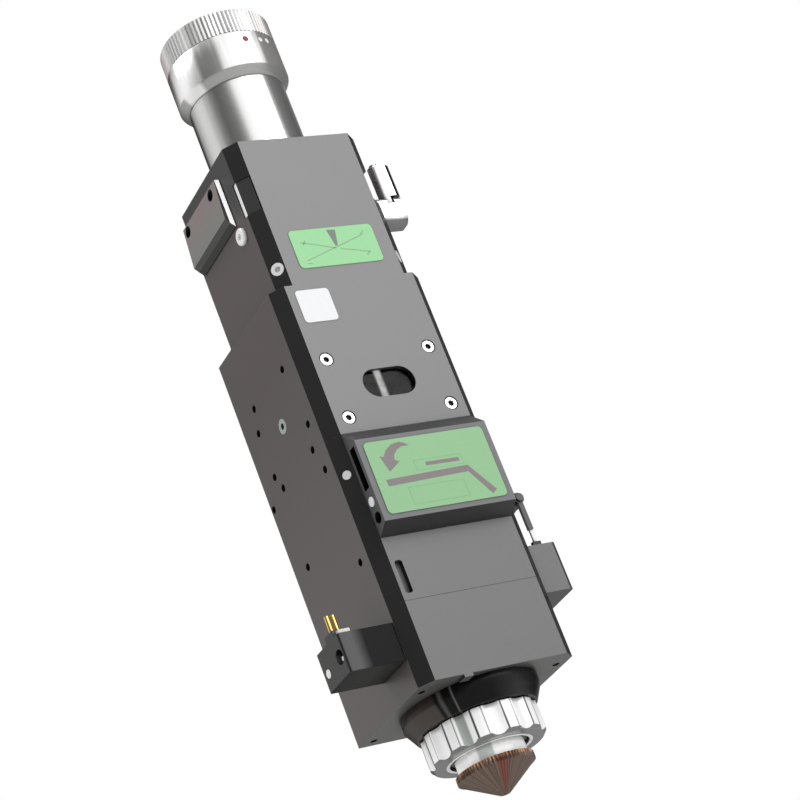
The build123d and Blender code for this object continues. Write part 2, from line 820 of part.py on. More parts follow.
with BuildPart() as collimator_lens:
    lens(collimator_glass_radius - 0.05, collimator_mid, collimator_glass_thickness,
         collimator_glass_bulge)
save(collimator_lens, "collimator_lens")


def centring_screw(side, tip):
    """An adjusting screw from the cut corner inwards; its stem ends at the tip radius."""
    reach = sqrt(2) * (upper_half - corner_cut / 2 + abs(body_front) - corner_cut / 2) / 2
    head_start = reach - centring_screw_sink
    stem_start = head_start - centring_head_length
    start = (side * diagonal * head_start, -diagonal * head_start, centring_z)
    neck = (side * diagonal * stem_start, -diagonal * stem_start, centring_z)
    rod(start, (-side, 1, 0), centring_screw_radius, centring_head_length)
    rod(neck, (-side, 1, 0), centring_stem_radius, stem_start - tip)
    hex_socket(start, (-side, 1, 0), 2.0)


with BuildPart() as left_centring_screw:
    centring_screw(-1, frame_inner + 0.5)
save(left_centring_screw, "left_centring_screw")

with BuildPart() as right_centring_screw:
    centring_screw(1, collimator_glass_radius + 1.6)
save(right_centring_screw, "right_centring_screw")

# Focus drive: motor with lead screw, guide rods and the lens carriage
carriage_bottom = carriage_centre - carriage_height / 2
carriage_top = carriage_centre + carriage_height / 2
carriage_inner = carriage_radius - carriage_wall
lug_bottom = carriage_centre - lug_height / 2
lug_top = carriage_centre + lug_height / 2
focus_floor = carriage_bottom + 4
focus_edge = focus_glass_thickness / 2 - focus_glass_bulge
focus_rise = seat_rise(carriage_inner, focus_glass_bulge)
focus_mid = focus_floor + focus_rise + focus_edge
focus_ring_bottom = focus_mid + focus_edge + focus_rise
motor_bottom = web_top
index_y = -sqrt((carriage_radius - 0.4) ** 2 - (index_screw_place[0] + index_screw_radius) ** 2)

with BuildPart() as guide_rods:
    for x, y in rod_places:
        disc(x, y, rod_bottom, web_top, rod_radius)
save(guide_rods, "guide_rods")

with BuildPart() as lead_screw:
    disc(screw_place[0], screw_place[1], pocket_bottom - journal_depth + slide_gap,
         motor_bottom + motor_screw_depth - 0.5, lead_screw_radius)
save(lead_screw, "lead_screw")

with BuildPart() as focus_motor:
    disc(screw_place[0], screw_place[1], motor_bottom, motor_bottom + motor_height, motor_radius)
    disc(screw_place[0], screw_place[1], motor_bottom, motor_bottom + motor_screw_depth,
         lead_screw_radius + slide_gap, Mode.SUBTRACT)
    block(screw_place[0] - motor_block_width / 2, screw_place[0] + motor_block_width / 2,
          screw_place[1] - motor_block_width / 2, screw_place[1] + motor_block_width / 2,
          motor_bottom + motor_height, motor_bottom + motor_height + motor_block_height)
save(focus_motor, "focus_motor")

with BuildPart() as focus_nut:
    disc(screw_place[0], screw_place[1], lug_bottom - nut_flange_height, lug_bottom,
         nut_radius + 1.5)
    disc(screw_place[0], screw_place[1], lug_bottom, lug_top + 2, nut_radius)
    disc(screw_place[0], screw_place[1], lug_bottom - nut_flange_height, lug_top + 2,
         lead_screw_radius + running_gap, Mode.SUBTRACT)
save(focus_nut, "focus_nut")

with BuildPart() as focus_carriage:
    disc(0, 0, carriage_bottom, carriage_top, carriage_radius)
    with BuildSketch(Plane.XY.offset(lug_bottom)):
        with Locations((0, (lug_front + lug_back) / 2)):
            RectangleRounded(2 * lug_half_width, lug_back - lug_front, 3)
    extrude(amount=lug_height)
    disc(0, 0, carriage_bottom, carriage_top, carriage_inner, Mode.SUBTRACT)
    for x, y in rod_places:
        disc(x, y, lug_bottom, lug_top, rod_radius + running_gap, Mode.SUBTRACT)
    disc(screw_place[0], screw_place[1], lug_bottom, lug_top, nut_radius, Mode.SUBTRACT)
    tube(carriage_inner + 0.1, carriage_inner - glass_lip, carriage_bottom, focus_floor)
    rod((index_screw_place[0], index_y, index_screw_place[1]), (0, 1, 0), index_screw_radius,
        index_screw_length, Mode.SUBTRACT)
    block(index_screw_place[0] - index_screw_radius - 0.2,
          index_screw_place[0] + index_screw_radius + 0.2, -carriage_radius, index_y,
          index_screw_place[1] - index_screw_radius - 0.2,
          index_screw_place[1] + index_screw_radius + 0.2, Mode.SUBTRACT)
save(focus_carriage, "focus_carriage")

with BuildPart() as index_screw:
    rod((index_screw_place[0], index_y, index_screw_place[1]), (0, 1, 0), index_screw_radius,
        index_screw_length)
    hex_socket((index_screw_place[0], index_y, index_screw_place[1]), (0, 1, 0), 1.0)
save(index_screw, "index_screw")

with BuildPart() as focus_lens:
    lens(carriage_inner - 0.05, focus_mid, focus_glass_thickness, focus_glass_bulge)
save(focus_lens, "focus_lens")

with BuildPart() as focus_lens_ring:
    tube(carriage_inner, carriage_inner - glass_lip, focus_ring_bottom,
         focus_ring_bottom + lens_ring_height)
save(focus_lens_ring, "focus_lens_ring")

with BuildPart() as motor_connector:
    with BuildSketch(Plane.XZ.offset(-upper_back)):
        with Locations(connector_place):
            RectangleRounded(connector_flange, connector_flange, 2)
    extrude(amount=-connector_flange_height)
    rod((connector_place[0], upper_back + connector_flange_height, connector_place[1]), (0, 1, 0),
        connector_radius, connector_length)
    rod((connector_place[0], upper_back + connector_flange_height + connector_length,
         connector_place[1]), (0, -1, 0), connector_radius - 1.2, connector_length - 2,
        Mode.SUBTRACT)
    for turn in range(4):
        angle = radians(45 + 90 * turn)
        rod((connector_place[0] + 2.4 * cos(angle), upper_back + connector_flange_height,
             connector_place[1] + 2.4 * sin(angle)), (0, 1, 0), 0.5, connector_length - 1.5)
save(motor_connector, "motor_connector")

# Upper window drawer
grip_inner = -upper_half - side_gap
grip_face = grip_inner - grip_plate
with BuildPart() as upper_drawer:
    block(-upper_half, upper_tray_length - upper_half, -upper_tray_width / 2, upper_tray_width / 2,
          upper_tray_bottom, upper_tray_top)
    block(grip_face, -upper_half, -upper_tray_width / 2 + grip_neck_step,
          upper_tray_width / 2 - grip_neck_step, upper_tray_bottom + grip_neck_step,
          upper_tray_top - grip_neck_step)
    with BuildSketch(Plane.XZ.offset(-grip_front)):
        Polygon((grip_face, grip_bottom + grip_plate), (grip_face, grip_top),
                (-upper_half - grip_top_reach, grip_top),
                (-upper_half - grip_reach, grip_bottom + grip_chamfer), align=None)
    extrude(amount=grip_front - grip_back)
    disc(0, 0, upper_tray_bottom, upper_tray_top, upper_glass_radius - glass_lip, Mode.SUBTRACT)
    disc(0, 0, upper_seat, upper_tray_top, upper_glass_radius, Mode.SUBTRACT)
    for y in grip_hole_places:
        rod((grip_face, y, grip_hole_z), (-1, 0, 0), grip_hole_radius, grip_reach, Mode.SUBTRACT)
save(upper_drawer, "upper_drawer")

with BuildPart() as drawer_plate:
    with BuildSketch(Plane.XZ.offset(-grip_front)):
        Polygon((grip_inner, grip_bottom), (grip_inner, grip_top), (grip_face, grip_top),
                (grip_face, grip_bottom + grip_plate), align=None)
    extrude(amount=grip_front - grip_back)
    block(grip_face, grip_inner, -upper_tray_width / 2 + grip_neck_step,
          upper_tray_width / 2 - grip_neck_step, upper_tray_bottom + grip_neck_step,
          upper_tray_top - grip_neck_step, Mode.SUBTRACT)
    for y in grip_hole_places:
        rod((grip_inner, y, grip_hole_z), (-1, 0, 0), grip_hole_radius, grip_plate, Mode.SUBTRACT)
save(drawer_plate, "drawer_plate")

with BuildPart() as upper_window:
    disc(0, 0, upper_seat, upper_seat + upper_glass_thickness, upper_glass_radius - 0.05)
save(upper_window, "upper_window")

# Lock bar of the upper drawer and the flag that moves it
with BuildPart() as lock_bar:
    with BuildSketch(Plane.XY.offset(bar_bottom)):
        Polygon(*bar_plan, align=None)
    extrude(amount=bar_height)
save(lock_bar, "lock_bar")

with BuildPart() as strip_screw:
    place = (-upper_half, strip_screw_place[0], strip_screw_place[1])
    rod(place, (-1, 0, 0), round_head_radius, round_head_height)
    fillet(strip_screw.edges().sort_by(Axis.X)[0], 0.8)
    rod(place, (1, 0, 0), shank_radius, shank_length)
    hex_socket((-upper_half - round_head_height, strip_screw_place[0], strip_screw_place[1]),
               (1, 0, 0), 1.0)
save(strip_screw, "strip_screw")


def cap_screw_room(face, y, z, length, outward, mode=Mode.SUBTRACT):
    """Counterbore and through hole of a cap screw that enters along X."""
    rod((face, y, z), (-outward, 0, 0), cap_head_radius + assembly_gap, cap_head_height + 0.2, mode)
    rod((face, y, z), (-outward, 0, 0), shank_radius, length, mode)


def cap_screw(face, y, z, length, outward):
    """A cap screw whose head lies in a counterbore below the face."""
    head = face - outward * 0.2
    rod((head, y, z), (-outward, 0, 0), cap_head_radius, cap_head_height)
    rod((head, y, z), (-outward, 0, 0), shank_radius, length - 0.2)
    hex_socket((head, y, z), (-outward, 0, 0), 1.5)


flag_base_face = upper_half + flag_base_reach
flag_notch_floor = flag_barrel_bottom - slide_gap
with BuildPart() as flag_base:
    block(upper_half, flag_base_face, flag_base_front, flag_base_front + flag_base_depth,
          flag_base_bottom, flag_base_top)
    fillet(flag_base.edges().filter_by(Axis.X).group_by(Axis.Z)[0].sort_by(Axis.Y)[0],
           flag_base_fillet)
    disc(flag_axis[0], flag_axis[1], flag_notch_floor, flag_base_top,
         flag_barrel_radius + flag_notch_gap, Mode.SUBTRACT)
    disc(flag_axis[0], flag_axis[1], flag_notch_floor - flag_pin_seat, flag_notch_floor,
         hinge_pin_radius, Mode.SUBTRACT)
    cap_screw_room(flag_base_face, flag_screw_place[0], flag_screw_place[1],
                   flag_base_reach, 1)
save(flag_base, "flag_base")

flag_pin_top = flag_top + slide_gap
with BuildPart() as flag_pin:
    disc(flag_axis[0], flag_axis[1], flag_notch_floor - flag_pin_seat, flag_pin_top,
         hinge_pin_radius)
    disc(flag_axis[0], flag_axis[1], flag_pin_top, flag_pin_top + flag_pin_head_height,
         hinge_pin_radius + flag_pin_head_reach)
save(flag_pin, "flag_pin")

flag_plate_front = flag_axis[1] - flag_barrel_radius
flag_end = flag_axis[0] + flag_length
with BuildPart() as flag_lever:
    disc(flag_axis[0], flag_axis[1], flag_barrel_bottom, flag_top, flag_barrel_radius)
    with BuildSketch(Plane.XY.offset(flag_bottom)):
        Polygon((flag_axis[0], flag_plate_front), (flag_end - flag_bevel[0], flag_plate_front),
                (flag_end, flag_plate_front + flag_bevel[1]),
                (flag_end, flag_plate_front + flag_thickness),
                (flag_axis[0], flag_plate_front + flag_thickness), align=None)
    extrude(amount=flag_top - flag_bottom)
    disc(flag_axis[0], flag_axis[1], flag_barrel_bottom, flag_top,
         hinge_pin_radius + running_gap, Mode.SUBTRACT)
save(flag_lever, "flag_lever")

# Protective window drawer
with BuildPart() as window_tray:
    block(-tray_tail, body_half + handle_gap, -tray_width / 2, tray_width / 2,
          drawer_bottom, drawer_top)
    disc(0, 0, drawer_bottom, drawer_top, beam_radius, Mode.SUBTRACT)
    disc(0, 0, tray_seat, drawer_top, glass_radius, Mode.SUBTRACT)
    with BuildSketch(Plane.XY.offset(drawer_bottom)):
        with Locations((-tray_tail, 0)):
            Circle(4)
    extrude(amount=tray_height, mode=Mode.SUBTRACT)
    for y in (-handle_screw_y, handle_screw_y):
        rod((body_half + handle_gap, y, drawer_centre_z), (-1, 0, 0), shank_radius, shank_length,
            Mode.SUBTRACT)
save(window_tray, "window_tray")

handle_face = body_half + handle_gap + handle_reach
with BuildPart() as drawer_handle:
    block(body_half + handle_gap, handle_face, -handle_width / 2, handle_width / 2,
          handle_bottom, handle_bottom + handle_height)
    fillet(drawer_handle.edges().filter_by(Axis.Z).sort_by(Axis.X)[-2:], handle_fillet)
    block(catch_place[0] - catch_size / 2, catch_place[0] + catch_size / 2, catch_front,
          catch_front + catch_depth, handle_bottom + handle_height,
          handle_bottom + handle_height + catch_height)
    for y in (-handle_screw_y, handle_screw_y):
        cap_screw_room(handle_face, y, drawer_centre_z, handle_reach, 1)
save(drawer_handle, "drawer_handle")

with BuildPart() as handle_screws:
    for y in (-handle_screw_y, handle_screw_y):
        cap_screw(handle_face, y, drawer_centre_z, handle_reach + shank_length, 1)
save(handle_screws, "handle_screws")

with BuildPart() as window_seal:
    tube(glass_radius, beam_radius + 0.5, tray_seat, tray_seat + seal_thickness)
save(window_seal, "window_seal")

with BuildPart() as protective_window:
    disc(0, 0, tray_seat + seal_thickness, tray_seat + seal_thickness + glass_thickness,
         glass_radius - 0.05)
save(protective_window, "protective_window")

with BuildPart() as window_retainer:
    tube(glass_radius, beam_radius + 1, tray_seat + seal_thickness + glass_thickness,
         tray_seat + seal_thickness + glass_thickness + retainer_height)
save(window_retainer, "window_retainer")

# Catch lever above the drawer handle
catch_tip_bottom = handle_bottom + handle_height + catch_height + slide_gap
with BuildPart() as catch_bracket:
    block(body_half, catch_bracket_face, catch_back + slide_gap, catch_back + bracket_depth,
          bracket_bottom, bracket_bottom + bracket_height)
    rod((catch_place[0], catch_back + catch_pin_seat, catch_place[1]), (0, -1, 0),
        hinge_pin_radius, catch_pin_seat, Mode.SUBTRACT)
    cap_screw_room(catch_bracket_face, catch_screw_y, catch_place[1],
                   catch_bracket_face - body_half, 1)
save(catch_bracket, "catch_bracket")

with BuildPart() as catch_pin:
    rod((catch_place[0], catch_back + catch_pin_seat, catch_place[1]), (0, -1, 0),
        hinge_pin_radius, catch_depth + catch_pin_seat + slide_gap)
    rod((catch_place[0], catch_front - slide_gap, catch_place[1]), (0, -1, 0),
        hinge_pin_radius + 0.7, 0.8)
save(catch_pin, "catch_pin")

with BuildPart() as catch_lever:
    rod((catch_place[0], catch_back, catch_place[1]), (0, -1, 0), catch_barrel_radius, catch_depth)
    block(catch_place[0] - catch_strip / 2, catch_place[0] + catch_strip / 2, catch_front,
          catch_back, catch_bottom, catch_place[1])
    block(catch_place[0] - catch_tip / 2, catch_place[0] + catch_tip / 2,
          catch_back - catch_tip_depth, catch_back, catch_tip_bottom, catch_bottom)
    rod((catch_place[0], catch_back, catch_place[1]), (0, -1, 0), hinge_pin_radius + running_gap,
        catch_depth, Mode.SUBTRACT)
save(catch_lever, "catch_lever")

with BuildPart() as bracket_screws:
    cap_screw(flag_base_face, flag_screw_place[0], flag_screw_place[1],
              flag_base_reach + bracket_screw_hold, 1)
    cap_screw(catch_bracket_face, catch_screw_y, catch_place[1],
              catch_bracket_face - body_half + bracket_screw_hold, 1)
save(bracket_screws, "bracket_screws")

# Connector box on the left side
box_face = -body_half - box_reach
box_top = box_bottom + box_height
with BuildPart() as connector_box:
    block(box_face, -body_half, box_front, box_back, box_bottom, box_top)
    fillet(connector_box.edges().filter_by(Axis.Z).sort_by(Axis.X)[:2], box_fillet)
    rod((box_face, socket_place[0], socket_place[1]), (1, 0, 0), socket_radius, socket_depth,
        Mode.SUBTRACT)
    block(box_face, box_face + header_reach, pin_y - header_half_width, pin_y + header_half_width,
          box_top, box_top + header_height)
    for inset in pin_insets:
        disc(box_face + inset, pin_y, box_top - pin_seat, box_top + header_height, pin_radius,
             Mode.SUBTRACT)
    rod((box_face, box_screw_place[0], box_screw_place[1]), (1, 0, 0),
        box_screw_head_radius + assembly_gap, box_screw_head_height, Mode.SUBTRACT)
    rod((box_face, box_screw_place[0], box_screw_place[1]), (1, 0, 0), shank_radius, box_reach,
        Mode.SUBTRACT)
save(connector_box, "connector_box")

with BuildPart() as connector_pins:
    for inset in pin_insets:
        disc(box_face + inset, pin_y, box_top - pin_seat, box_top + pin_height, pin_radius)
save(connector_pins, "connector_pins")

with BuildPart() as socket_insert:
    for side in (-1, 1):
        pad_middle = pin_y + side * (header_half_width + pad_width / 2)
        block(box_face + box_fillet, box_face + header_reach, pad_middle - pad_width / 2,
              pad_middle + pad_width / 2, box_top, box_top + pad_height)
    rod((box_face + socket_depth, contact_place[0], contact_place[1]), (-1, 0, 0),
        contact_radius, socket_depth - contact_radius)
save(socket_insert, "socket_insert")

with BuildPart() as connector_screw:
    rod((box_face, box_screw_place[0], box_screw_place[1]), (1, 0, 0), box_screw_head_radius,
        box_screw_head_height)
    rod((box_face, box_screw_place[0], box_screw_place[1]), (1, 0, 0), shank_radius,
        box_reach + shank_length)
save(connector_screw, "connector_screw")

# Height sensor, ceramic ring, lock nut and nozzle
spigot_radius = nut_outer_radius - scallop_depth - nut_wall
ceramic_top = nut_bottom + nut_floor + ceramic_flange
spigot_bottom = ceramic_top + slide_gap
with BuildPart() as sensor_body:
    turned([(sensor_bore, sensor_thread_top), (sensor_bore, spigot_bottom),
            (spigot_radius - running_gap, spigot_bottom),
            (spigot_radius - running_gap, sensor_bottom),
            (sensor_top_radius - sensor_cone, sensor_bottom),
            (sensor_top_radius, body_bottom - sensor_band),
            (sensor_top_radius, body_bottom), (sensor_thread_radius, body_bottom),
            (sensor_thread_radius, sensor_thread_top)])
save(sensor_body, "sensor_body")

with BuildPart() as ceramic_ring:
    turned([(holder_stem_radius, ceramic_bottom), (ceramic_neck_radius, ceramic_bottom),
            (ceramic_neck_radius, nut_bottom + nut_floor), (spigot_radius - 0.3, nut_bottom + nut_floor),
            (spigot_radius - 0.3, ceramic_top), (holder_stem_radius, ceramic_top)])
save(ceramic_ring, "ceramic_ring")

with BuildPart() as lock_nut:
    turned([(nut_opening_radius, nut_bottom), (nut_outer_radius - nut_chamfer, nut_bottom),
            (nut_outer_radius, nut_bottom + nut_chamfer), (nut_outer_radius, nut_top),
            (spigot_radius, nut_top), (spigot_radius, nut_bottom + nut_floor),
            (nut_opening_radius, nut_bottom + nut_floor)])
    with BuildSketch(Plane.XY.offset(nut_bottom)):
        with PolarLocations(nut_outer_radius - scallop_depth + scallop_radius, scallop_count,
                            start_angle=scallop_phase):
            Circle(scallop_radius)
    extrude(amount=nut_top - nut_bottom, mode=Mode.SUBTRACT)
save(lock_nut, "lock_nut")

with BuildPart() as nozzle_holder:
    turned([(holder_bore, holder_bottom), (holder_radius, holder_bottom),
            (holder_radius, ceramic_bottom - 0.1), (holder_stem_radius, ceramic_bottom - 0.1),
            (holder_stem_radius, holder_top), (holder_bore, holder_top)])
    disc(0, 0, holder_bottom, holder_bottom + nozzle_stem_height, nozzle_stem_radius, Mode.SUBTRACT)
    for side in (-1, 1):
        block(side * flat_across / 2 - (1 - side) * 2, side * flat_across / 2 + (1 + side) * 2,
              -holder_radius, holder_radius, holder_bottom, ceramic_bottom - 0.1, Mode.SUBTRACT)
save(nozzle_holder, "nozzle_holder")

with BuildPart() as nozzle:
    with BuildSketch(Plane.XY.offset(nozzle_knurl_bottom)):
        Polygon(*knurled_outline(nozzle_radius, nozzle_knurl_depth, nozzle_knurl_count), align=None)
    extrude(amount=holder_bottom - nozzle_knurl_bottom)
    turned([(0, nozzle_knurl_bottom), (nozzle_radius - nozzle_knurl_depth, nozzle_knurl_bottom),
            (nozzle_tip_radius, 0), (0, 0)])
    disc(0, 0, holder_bottom, holder_bottom + nozzle_stem_height, nozzle_stem_radius)
    turned([(0, 0), (orifice_radius, 0), (orifice_radius, orifice_land),
            (nozzle_bore_radius, holder_bottom + nozzle_stem_height),
            (0, holder_bottom + nozzle_stem_height)], Mode.SUBTRACT)
save(nozzle, "nozzle")
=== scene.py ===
# %% [markdown]
# # A laser cutting head, dressed over its CAD frame
# The head hangs on the Z axis of a sheet cutting machine. A fibre plugs in at the top, two
# lenses shape the beam, and a copper nozzle at the bottom blows gas on the cut.
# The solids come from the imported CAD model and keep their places. This file adds what a solid
# can't carry: finishes, small prints, paint marks, soft edges, light and the camera. The frame
# is in metres, so MM turns a length in millimetres into metres.

# %% Load the frame
import math
from collections import namedtuple

import bmesh
import bpy
from mathutils import Matrix, Vector


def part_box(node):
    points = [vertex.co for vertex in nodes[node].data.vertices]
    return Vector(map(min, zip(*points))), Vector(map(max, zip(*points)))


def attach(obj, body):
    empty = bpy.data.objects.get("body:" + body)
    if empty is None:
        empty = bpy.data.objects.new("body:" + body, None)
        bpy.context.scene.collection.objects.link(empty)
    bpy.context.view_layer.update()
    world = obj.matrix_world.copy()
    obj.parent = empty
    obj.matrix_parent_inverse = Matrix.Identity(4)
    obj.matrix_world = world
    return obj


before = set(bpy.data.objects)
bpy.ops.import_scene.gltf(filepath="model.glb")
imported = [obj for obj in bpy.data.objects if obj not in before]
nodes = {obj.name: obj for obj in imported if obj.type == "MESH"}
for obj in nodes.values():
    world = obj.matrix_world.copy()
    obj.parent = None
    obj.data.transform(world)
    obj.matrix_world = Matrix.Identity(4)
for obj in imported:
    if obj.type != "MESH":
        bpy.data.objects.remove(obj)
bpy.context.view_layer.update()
MM = 0.001
print("CAD nodes:", len(nodes))

# %% [markdown]
# ## Camera
# The photo looks up at the head from the left, from a little below the nozzle, and leans to one
# side. A camera could be turned by hand until the edges agree. Here its axes were fitted to the
# edges and holes of the housing, so they are given as three unit vectors.

# %% Place the camera
camera_right = Vector((0.85466582, -0.39070155, -0.34190442))
camera_up = Vector((0.11985295, -0.49228468, 0.8621433))
camera_back = Vector((-0.50515503, -0.77782266, -0.37391216))
camera_place = Vector((-518.27, -831.51, -225.98)) * MM

FOCAL_LENGTH = 115.52
lens = bpy.data.cameras.new("camera")
lens.sensor_width = 36.0
lens.lens = FOCAL_LENGTH
lens.clip_end = 20.0
camera = bpy.data.objects.new("camera", lens)
bpy.context.collection.objects.link(camera)
turn = Matrix((camera_right, camera_up, camera_back)).transposed().to_4x4()
camera.matrix_world = Matrix.Translation(camera_place) @ turn
bpy.context.scene.camera = camera
print("Camera stands", round(camera_place.length, 2), "m from the nozzle tip")

# %% [markdown]
# ## Shared effects as node groups
# Two anodised finishes, or two turned ones, differ only in a few numbers. Each effect could be
# built again in every material. A node group with named inputs is built once, and each material
# places it with its own values, so a change is made in one place.

# %% A helper that makes a node group with its sockets
SOCKETS = {"value": "NodeSocketFloat", "colour": "NodeSocketColor", "vector": "NodeSocketVector"}


def new_group(name, inputs, outputs):
    """An empty shader group; inputs are (name, kind, default), outputs are (name, kind)."""
    tree = bpy.data.node_groups.new(name, "ShaderNodeTree")
    for label, kind, default in inputs:
        socket = tree.interface.new_socket(name=label, in_out="INPUT", socket_type=SOCKETS[kind])
        socket.default_value = default
    for label, kind in outputs:
        tree.interface.new_socket(name=label, in_out="OUTPUT", socket_type=SOCKETS[kind])
    return tree, tree.nodes.new("NodeGroupInput"), tree.nodes.new("NodeGroupOutput")


print("Group sockets:", ", ".join(SOCKETS))

# %% Helpers that add a node and feed its sockets


def add_node(tree, kind, **settings):
    """A node with its settings; a setting that names an input socket sets its value."""
    node = tree.nodes.new(kind)
    for key, value in settings.items():
        if hasattr(node, key):
            setattr(node, key, value)
        else:
            node.inputs[key.replace("_", " ")].default_value = value
    return node


def feed(tree, source, socket):
    """Links an output to the socket, or writes a plain value into it."""
    if isinstance(source, bpy.types.NodeSocket):
        tree.links.new(source, socket)
    else:
        socket.default_value = source


def maths(tree, operation, *operands):
    """A Math node; each operand is a number or an output socket. Returns its output."""
    node = tree.nodes.new("ShaderNodeMath")
    node.operation = operation
    for socket, operand in zip(node.inputs, operands):
        feed(tree, operand, socket)
    return node.outputs[0]


print("Math nodes take numbers and links alike")

# %% Helpers for vectors, slopes and colours
SINGLE_NUMBER = ("DOT_PRODUCT", "LENGTH")


def vector_maths(tree, operation, *operands, scale=None):
    """A Vector Math node on output sockets. Returns its number or its vector."""
    node = tree.nodes.new("ShaderNodeVectorMath")
    node.operation = operation
    for socket, operand in zip(node.inputs, operands):
        tree.links.new(operand, socket)
    if scale is not None:
        tree.links.new(scale, node.inputs["Scale"])
    return node.outputs["Value" if operation in SINGLE_NUMBER else "Vector"]


def slope(tree, value, start=0.0, end=1.0, low=0.0, high=1.0):
    """Runs from low at start to high at end, and stays level beyond them."""
    node = tree.nodes.new("ShaderNodeMapRange")
    sources = {"Value": value, "From Min": start, "From Max": end, "To Min": low, "To Max": high}
    for label, source in sources.items():
        feed(tree, source, node.inputs[label])
    return node.outputs[0]


def mix_colours(tree, factor, first, second):
    """A colour Mix node; factor and colours are values or output sockets."""
    node = tree.nodes.new("ShaderNodeMix")
    node.data_type = "RGBA"
    for index, source in ((0, factor), (6, first), (7, second)):
        feed(tree, source, node.inputs[index])
    return node.outputs[2]


print("Operations that give one number:", ", ".join(SINGLE_NUMBER))

# %% Helpers that say where a point lies


def object_place(tree):
    """The point in the object's own metres, which don't change when the piece moves."""
    return tree.nodes.new("ShaderNodeTexCoord").outputs["Object"]


def object_axes(tree):
    """The same point as three numbers: x, y and z."""
    split = tree.nodes.new("ShaderNodeSeparateXYZ")
    tree.links.new(object_place(tree), split.inputs[0])
    return split.outputs


print("Patterns are measured in the object's own metres")

# %% [markdown]
# ### Blasted grain
# Anodised aluminium is bead-blasted first, which leaves a fine, even grain and hardly visible
# clouds. A picture of it would need unwrapping. Two noises in the object's own metres give the
# grain and the clouds at real size on every piece.

# %% Build the blasted grain
grain, gi, go = new_group(
    "Blasted grain",
    [("Colour", "colour", (0.1, 0.1, 0.1, 1)), ("Clouds", "value", 0.1), ("Grain", "value", 2600.0),
     ("Roughness", "value", 0.4), ("Spread", "value", 0.08)],
    [("Colour", "colour"), ("Roughness", "value"), ("Height", "value")])
place = object_place(grain)
fine = add_node(grain, "ShaderNodeTexNoise", Detail=2.0)
cloud = add_node(grain, "ShaderNodeTexNoise", Scale=45.0, Detail=3.0)
grain.links.new(place, fine.inputs["Vector"])
grain.links.new(place, cloud.inputs["Vector"])
grain.links.new(gi.outputs["Grain"], fine.inputs["Scale"])
uneven = maths(grain, "SUBTRACT", cloud.outputs[0], 0.5)
shade = maths(grain, "MULTIPLY_ADD", uneven, gi.outputs["Clouds"], 1.0)
speck = maths(grain, "MULTIPLY_ADD", maths(grain, "SUBTRACT", fine.outputs[0], 0.5),
              gi.outputs["Clouds"], shade)
grain.links.new(vector_maths(grain, "SCALE", gi.outputs["Colour"], scale=speck),
                go.inputs["Colour"])
grain.links.new(maths(grain, "MULTIPLY_ADD", uneven, gi.outputs["Spread"],
                      gi.outputs["Roughness"]), go.inputs["Roughness"])
grain.links.new(fine.outputs[0], go.inputs["Height"])
print("Built", grain.name)

# %% [markdown]
# ### Turned lines
# A lathe tool leaves fine rings: lines round a cylinder, circles on its faces. One noise read at
# (distance from the beam axis, height) gives both, because all the round pieces share that axis.

# %% Build the turned lines
turned, gi, go = new_group(
    "Turned lines",
    [("Lines", "value", 900.0), ("Roughness", "value", 0.25), ("Spread", "value", 0.12)],
    [("Roughness", "value"), ("Height", "value")])
x, y, z = object_axes(turned)
flat = turned.nodes.new("ShaderNodeCombineXYZ")
turned.links.new(x, flat.inputs[0])
turned.links.new(y, flat.inputs[1])
ring = turned.nodes.new("ShaderNodeCombineXYZ")
turned.links.new(vector_maths(turned, "LENGTH", flat.outputs[0]), ring.inputs[0])
turned.links.new(z, ring.inputs[2])
lines = add_node(turned, "ShaderNodeTexNoise", Detail=2.0)
turned.links.new(ring.outputs[0], lines.inputs["Vector"])
turned.links.new(gi.outputs["Lines"], lines.inputs["Scale"])
turned.links.new(maths(turned, "MULTIPLY_ADD", maths(turned, "SUBTRACT", lines.outputs[0], 0.5),
                       gi.outputs["Spread"], gi.outputs["Roughness"]), go.inputs["Roughness"])
turned.links.new(lines.outputs[0], go.inputs["Height"])
print("Built", turned.name)

# %% [markdown]
# ### Facing
# The front plates' faces, their bevels and the housing's sides take tones of painted light and
# shade, for they are all one anodised material. Two materials per plate would need the faces
# sorted by hand. The surface's own direction in object space tells them apart, and doesn't change
# with the view.

# %% Build the facing mask
facing, gi, go = new_group(
    "Facing",
    [("Direction", "vector", (0, -1, 0)), ("From", "value", 0.85), ("To", "value", 0.95)],
    [("Mask", "value")])
normal = facing.nodes.new("ShaderNodeTexCoord").outputs["Normal"]
faced = vector_maths(facing, "DOT_PRODUCT", normal, gi.outputs["Direction"])
facing.links.new(slope(facing, faced, gi.outputs["From"], gi.outputs["To"]), go.inputs["Mask"])
print("Built", facing.name)

# %% [markdown]
# ### Edge wear
# Handling rubs the colour off sharp edges first. Painted by hand, every edge would need to be
# unwrapped. The Bevel node rounds the normal near an edge, so the angle between it and the true
# normal marks the edges, and a noise breaks the line up.

# %% Build the edge wear
WEAR_GAIN = 9.0
wear, gi, go = new_group(
    "Edge wear",
    [("Colour", "colour", (0.1, 0.1, 0.1, 1)), ("Bare", "colour", (0.5, 0.5, 0.5, 1)),
     ("Amount", "value", 0.5), ("Width", "value", 0.0004)],
    [("Colour", "colour"), ("Mask", "value")])
soft = add_node(wear, "ShaderNodeBevel", samples=4)
wear.links.new(gi.outputs["Width"], soft.inputs["Radius"])
true = wear.nodes.new("ShaderNodeNewGeometry")
alike = vector_maths(wear, "DOT_PRODUCT", soft.outputs[0], true.outputs["Normal"])
patch = add_node(wear, "ShaderNodeTexNoise", Scale=260.0, Detail=3.0)
wear.links.new(object_place(wear), patch.inputs["Vector"])
edge = maths(wear, "MULTIPLY", maths(wear, "SUBTRACT", 1.0, alike), WEAR_GAIN)
rub = slope(wear, patch.outputs[0], 0.35, 0.65)
